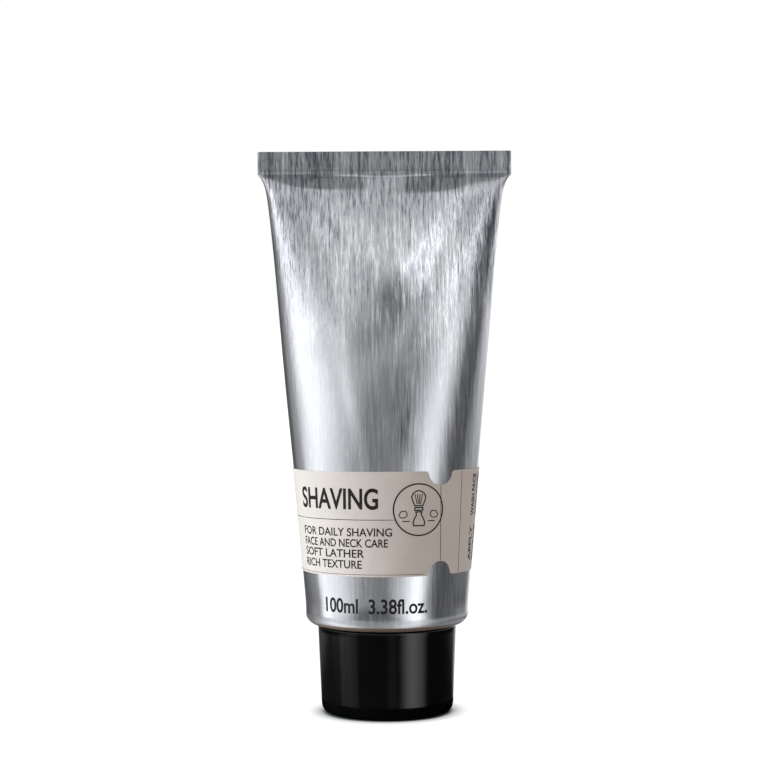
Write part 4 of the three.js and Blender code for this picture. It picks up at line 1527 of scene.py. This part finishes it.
@dataclass
class Studio:
    """A pale floor, a ring of soft light panels and the camera."""

    distance: float = 557.0
    eye_height: float = 100.8
    pitch: float = 2.046
    roll: float = 0.33
    lens: float = 105.94
    across: float = -0.42
    floor_reach: float = 9000.0
    lamp_strength: float = 5.4
    lamp_azimuth: float = -80.0  # angles here are in degrees
    lamp_height: float = 18.0
    lamp_angle: float = 25.0
    lamp_colour: Colour = (0.76, 0.91, 1.0)
    carried_elevation: float = -7.5
    shade_radius: float = 27.0
    shade_z: float = -0.1
    least_light: float = 0.015
    overhead: tuple[Colour, ...] = ((12.6, 28.0, 0.70), (48.0, 62.5, -0.5))  # from, to and how much is added
    panels: tuple[Panel, ...] = (
        Panel(-89, 26, 1, 12.4, 0.39, 40, 15, 2.0, 4),
        Panel(-60, 18.4, 2.7, 13.7, 1.3, 29, 38, 1.7, 12),
        Panel(-48, 62, 12.3, 11, 0.23, 13, 21, -1.1, 4),
        Panel(37, 7.4, 1.9, 17.4, 1.14, 24, 22, -0.45, 20),
        Panel(19.4, 7.4, 19.2, 10.2, 0.75, 31, 8, -0.7, 9),
        Panel(60, 39, 19.5, 10.4, -0.33, 18, 40, 1.2, 11),
        Panel(40.5, 20, -8.3, 13.3, 1.0, 20, 18, -1.15, 14),
        Panel(114, 42, 8.7, 14, 1.2, 34, 15, -2.4, 12),
        Panel(21, 5, 19, 2.4, 2.3, 6, 6, -0.7, 3),
        Panel(10.5, 6.5, 17, 8, -0.30, 8, 5, -0.4, 6),
        Panel(-2, 7, 13, 8, -0.13, 8, 8, 0.0, 6),
        Panel(34, 6, 10.5, 2.5, 0.28, 8, 8, -1.0, 3),
        Panel(-62, 9.5, 7.6, 4.4, 0.75, 12, 12, 4.6, 3),
        Panel(81, 8, 0.5, 5, -0.07, 10, 10, 0.0, 4),
        Panel(-20, 4.5, 13, 2.4, 0.9, 6, 6, 0.0, 3),
        Panel(-62, 10, -12.6, 4.4, 0.17, 7, 6, 0.0, 2.4),
        Panel(8, 7, -13.5, 3.5, 0.1, 9, 6, 0.0, 1.5),
        Panel(-95, 9, -8.5, 2.2, 1.15, 6, 8, 0.0, 2),
        Panel(-8, 22, -8.5, 1.8, 0.25, 12, 12, 0.0, 1.5),
        Panel(-46, 14, -8.9, 1.8, 0.22, 10, 14, 0.0, 1.5),
        Panel(166, 14, 10, 26, 0.5, 14, 10, 0.0, 12),
    )

    @staticmethod
    def _sheet(sheet: Piece, *hidden: str) -> tuple[Graph, Node]:
        """Gives a sheet of the stage a material that is clear from below.

        Args:
            sheet: The sheet.
            *hidden: The kinds of ray that pass it by.

        Returns:
            The material's graph and its Principled BSDF.
        """
        material = bpy.data.materials.new(sheet.name)
        material.use_nodes = True
        g, shader = Graph(material.node_tree), material.node_tree.nodes["Principled BSDF"]
        below = g.add("NewGeometry").outputs["Backfacing"]
        clear = g.add("BsdfTransparent")
        swap = g.add("MixShader", {0: below, 1: shader.outputs[0], 2: clear.outputs[0]})
        g.feed(g.tree.nodes["Material Output"].inputs["Surface"], swap.outputs[0])
        sheet.data.materials.append(material)
        for ray in hidden:
            setattr(sheet, f"visible_{ray}", False)
        return g, shader

    def floor(self) -> Piece:
        """Lays the floor: a wide pale sheet that is clear from below, with a painted contact shadow round the
        cap's foot.

        Returns:
            The floor.
        """
        size = self.floor_reach
        points = np.array([(-size, -size, 0), (size, -size, 0), (size, size, 0), (-size, size, 0)])
        floor = add_mesh("studio_floor", points, [[0, 1, 2, 3]])
        g, shader = self._sheet(floor, "glossy", "diffuse", "shadow")
        shader.inputs["Roughness"].default_value = 0.9
        grain = g.noise(g.place(), 300.0)
        g.feed(shader.inputs["Base Color"], g.mix(grain, (0.08, 0.08, 0.08), (0.10, 0.10, 0.10)))
        shader.inputs["Emission Color"].default_value = (1, 1, 1, 1)
        # The floor's pale tone is its own glow, which fades where the cap is near: a painted contact shadow.
        painted_shadow_ao = g.add("AmbientOcclusion", {"Distance": 0.009}, samples=8).outputs["AO"]
        g.feed(shader.inputs["Emission Strength"], g.remap(painted_shadow_ao, 0.30, 0.85, 0.0, 1.0))
        return floor

    def shade(self) -> Piece:
        """Lays the dark disc of shade under the cap, which only reflections see.

        Returns:
            The disc.
        """
        rim = arc(0.0, 0.0, self.shade_radius, 0, 354, 59)
        points = np.array([(x, y, self.shade_z) for x, y in rim])
        shade = add_mesh("studio_shade", points, [list(range(len(rim)))])
        _, shader = self._sheet(shade, "camera", "diffuse", "shadow", "transmission", "volume_scatter")
        shader.inputs["Base Color"].default_value = (0.0, 0.0, 0.0, 1.0)
        shader.inputs["Roughness"].default_value = 1.0
        shader.inputs["Specular IOR Level"].default_value = 0.0
        return shade

    @staticmethod
    def _panel(g: Graph, azimuth: Socket, elevation: Socket, panel: Panel) -> Socket:
        """Wires one panel.

        Args:
            g: The world's graph.
            azimuth: The direction's azimuth in degrees.
            elevation: Its elevation.
            panel: The panel.

        Returns:
            What it adds to the light.
        """
        lean = g.times(g.minus(elevation, panel.elevation), panel.tilt)
        offset = g.minus(g.minus(azimuth, panel.azimuth), lean)
        offset = g.math("WRAP", offset, 180.0, -180.0)
        rise = g.math("ABSOLUTE", g.minus(elevation, panel.elevation))
        half, tall = panel.half_width, panel.half_height
        left, right, fade = panel.soft_left / 2, panel.soft_right / 2, panel.fade / 2
        mask = g.times(g.remap(offset, -half - left, -half + left),
                       g.remap(offset, half - right, half + right, 1.0, 0.0))
        mask = g.times(mask, g.remap(rise, tall - fade, tall + fade, 1.0, 0.0))
        return g.times(mask, panel.strength)

    def room(self) -> None:
        """Sets up the room: dim in front, brighter overhead, with soft panels round it."""
        world = bpy.data.worlds.new("studio")
        bpy.context.scene.world = world
        world.use_nodes = True
        g = Graph(world.node_tree)
        background = world.node_tree.nodes["Background"]
        direction = g.add("TexCoord").outputs["Generated"]
        x, y, z = g.add("SeparateXYZ", {0: direction}).outputs
        azimuth = g.times(g.math("ARCTAN2", x, g.times(y, -1.0)), 180 / math.pi)
        elevation = g.times(g.math("ARCSINE", z), 180 / math.pi)
        # The band just under the horizon is what the cap mirrors. Below it the floor carries the
        # panels' light on, so the sleeve's rolled corner shows the same stripes as the wall above.
        curtain = g.times(g.remap(elevation, -9.8, -11.0), g.remap(elevation, -18.2, -15.8))
        drop = g.minus(self.carried_elevation, elevation)
        elevation = g.plus(elevation, g.times(drop, g.remap(elevation, -15.8, -18.2)))
        total = g.remap(elevation, -11.2, -9.8, 0.025, 0.12)
        for low, high, gain in self.overhead:
            total = g.plus(total, g.remap(elevation, low, high, 0.0, gain))
        for panel in self.panels:
            total = g.plus(total, self._panel(g, azimuth, elevation, panel))
        sides = g.remap(g.math("ABSOLUTE", azimuth), 80.0, 92.0, 0.0, 0.96)
        total = g.times(total, g.minus(1.0, g.times(curtain, sides)))
        total = g.math("MAXIMUM", total, self.least_light)
        seen = g.add("LightPath").outputs["Is Camera Ray"]
        g.feed(background.inputs["Color"], g.mix(seen, total, (1.0, 1.0, 1.0)))
        background.inputs["Strength"].default_value = 1.0
        bpy.context.scene.view_settings.view_transform = "Standard"

    def key_lamp(self) -> None:
        """Hangs the soft lamp on the left, which lights the label but isn't mirrored."""
        lamp = bpy.data.lights.new("left_key_lamp", "SUN")
        lamp.energy, lamp.color = self.lamp_strength, self.lamp_colour
        lamp.angle = math.radians(self.lamp_angle)
        holder = bpy.data.objects.new("left_key_lamp", lamp)
        bpy.context.scene.collection.objects.link(holder)
        holder.visible_glossy = False
        holder.rotation_euler = (math.radians(90 - self.lamp_height), 0.0, math.radians(self.lamp_azimuth))

    def camera(self) -> Piece:
        """Places the camera in front of the tube, at about its upper third.

        Returns:
            The camera.
        """
        data = bpy.data.cameras.new("portrait_camera")
        data.lens = self.lens
        data.sensor_width = 36.0
        data.clip_start, data.clip_end = 0.01, 100.0
        camera = bpy.data.objects.new("portrait_camera", data)
        bpy.context.scene.collection.objects.link(camera)
        look = Matrix.Rotation(math.radians(90 - self.pitch), 4, "X")
        roll = Matrix.Rotation(math.radians(-self.roll), 4, "Z")
        place = Matrix.Translation(Vector((self.across, -self.distance, self.eye_height)) * MM)
        camera.matrix_world = place @ look @ roll
        bpy.context.scene.camera = camera
        return camera

    def build(self) -> None:
        """Sets the stage."""
        self.floor()
        self.shade()
        self.room()
        self.key_lamp()
        self.camera()


# ---- everything in order


def main() -> None:
    """Builds every piece, in order from the tube to the studio."""
    logging.basicConfig(level=logging.INFO, format="%(message)s", stream=sys.stdout)
    shape = WebShape()
    Sleeve(shape).build()
    WrapLabel(shape).build()
    SleevePrint(shape).build()
    Shoulder().build()
    FoilSeal().build()
    shell = CapShell()
    shell.build()
    CapInsert(shell).build()
    CapLiner().build()
    dress_hidden_nodes()
    Studio().build()


if __name__ == "__main__":
    main()
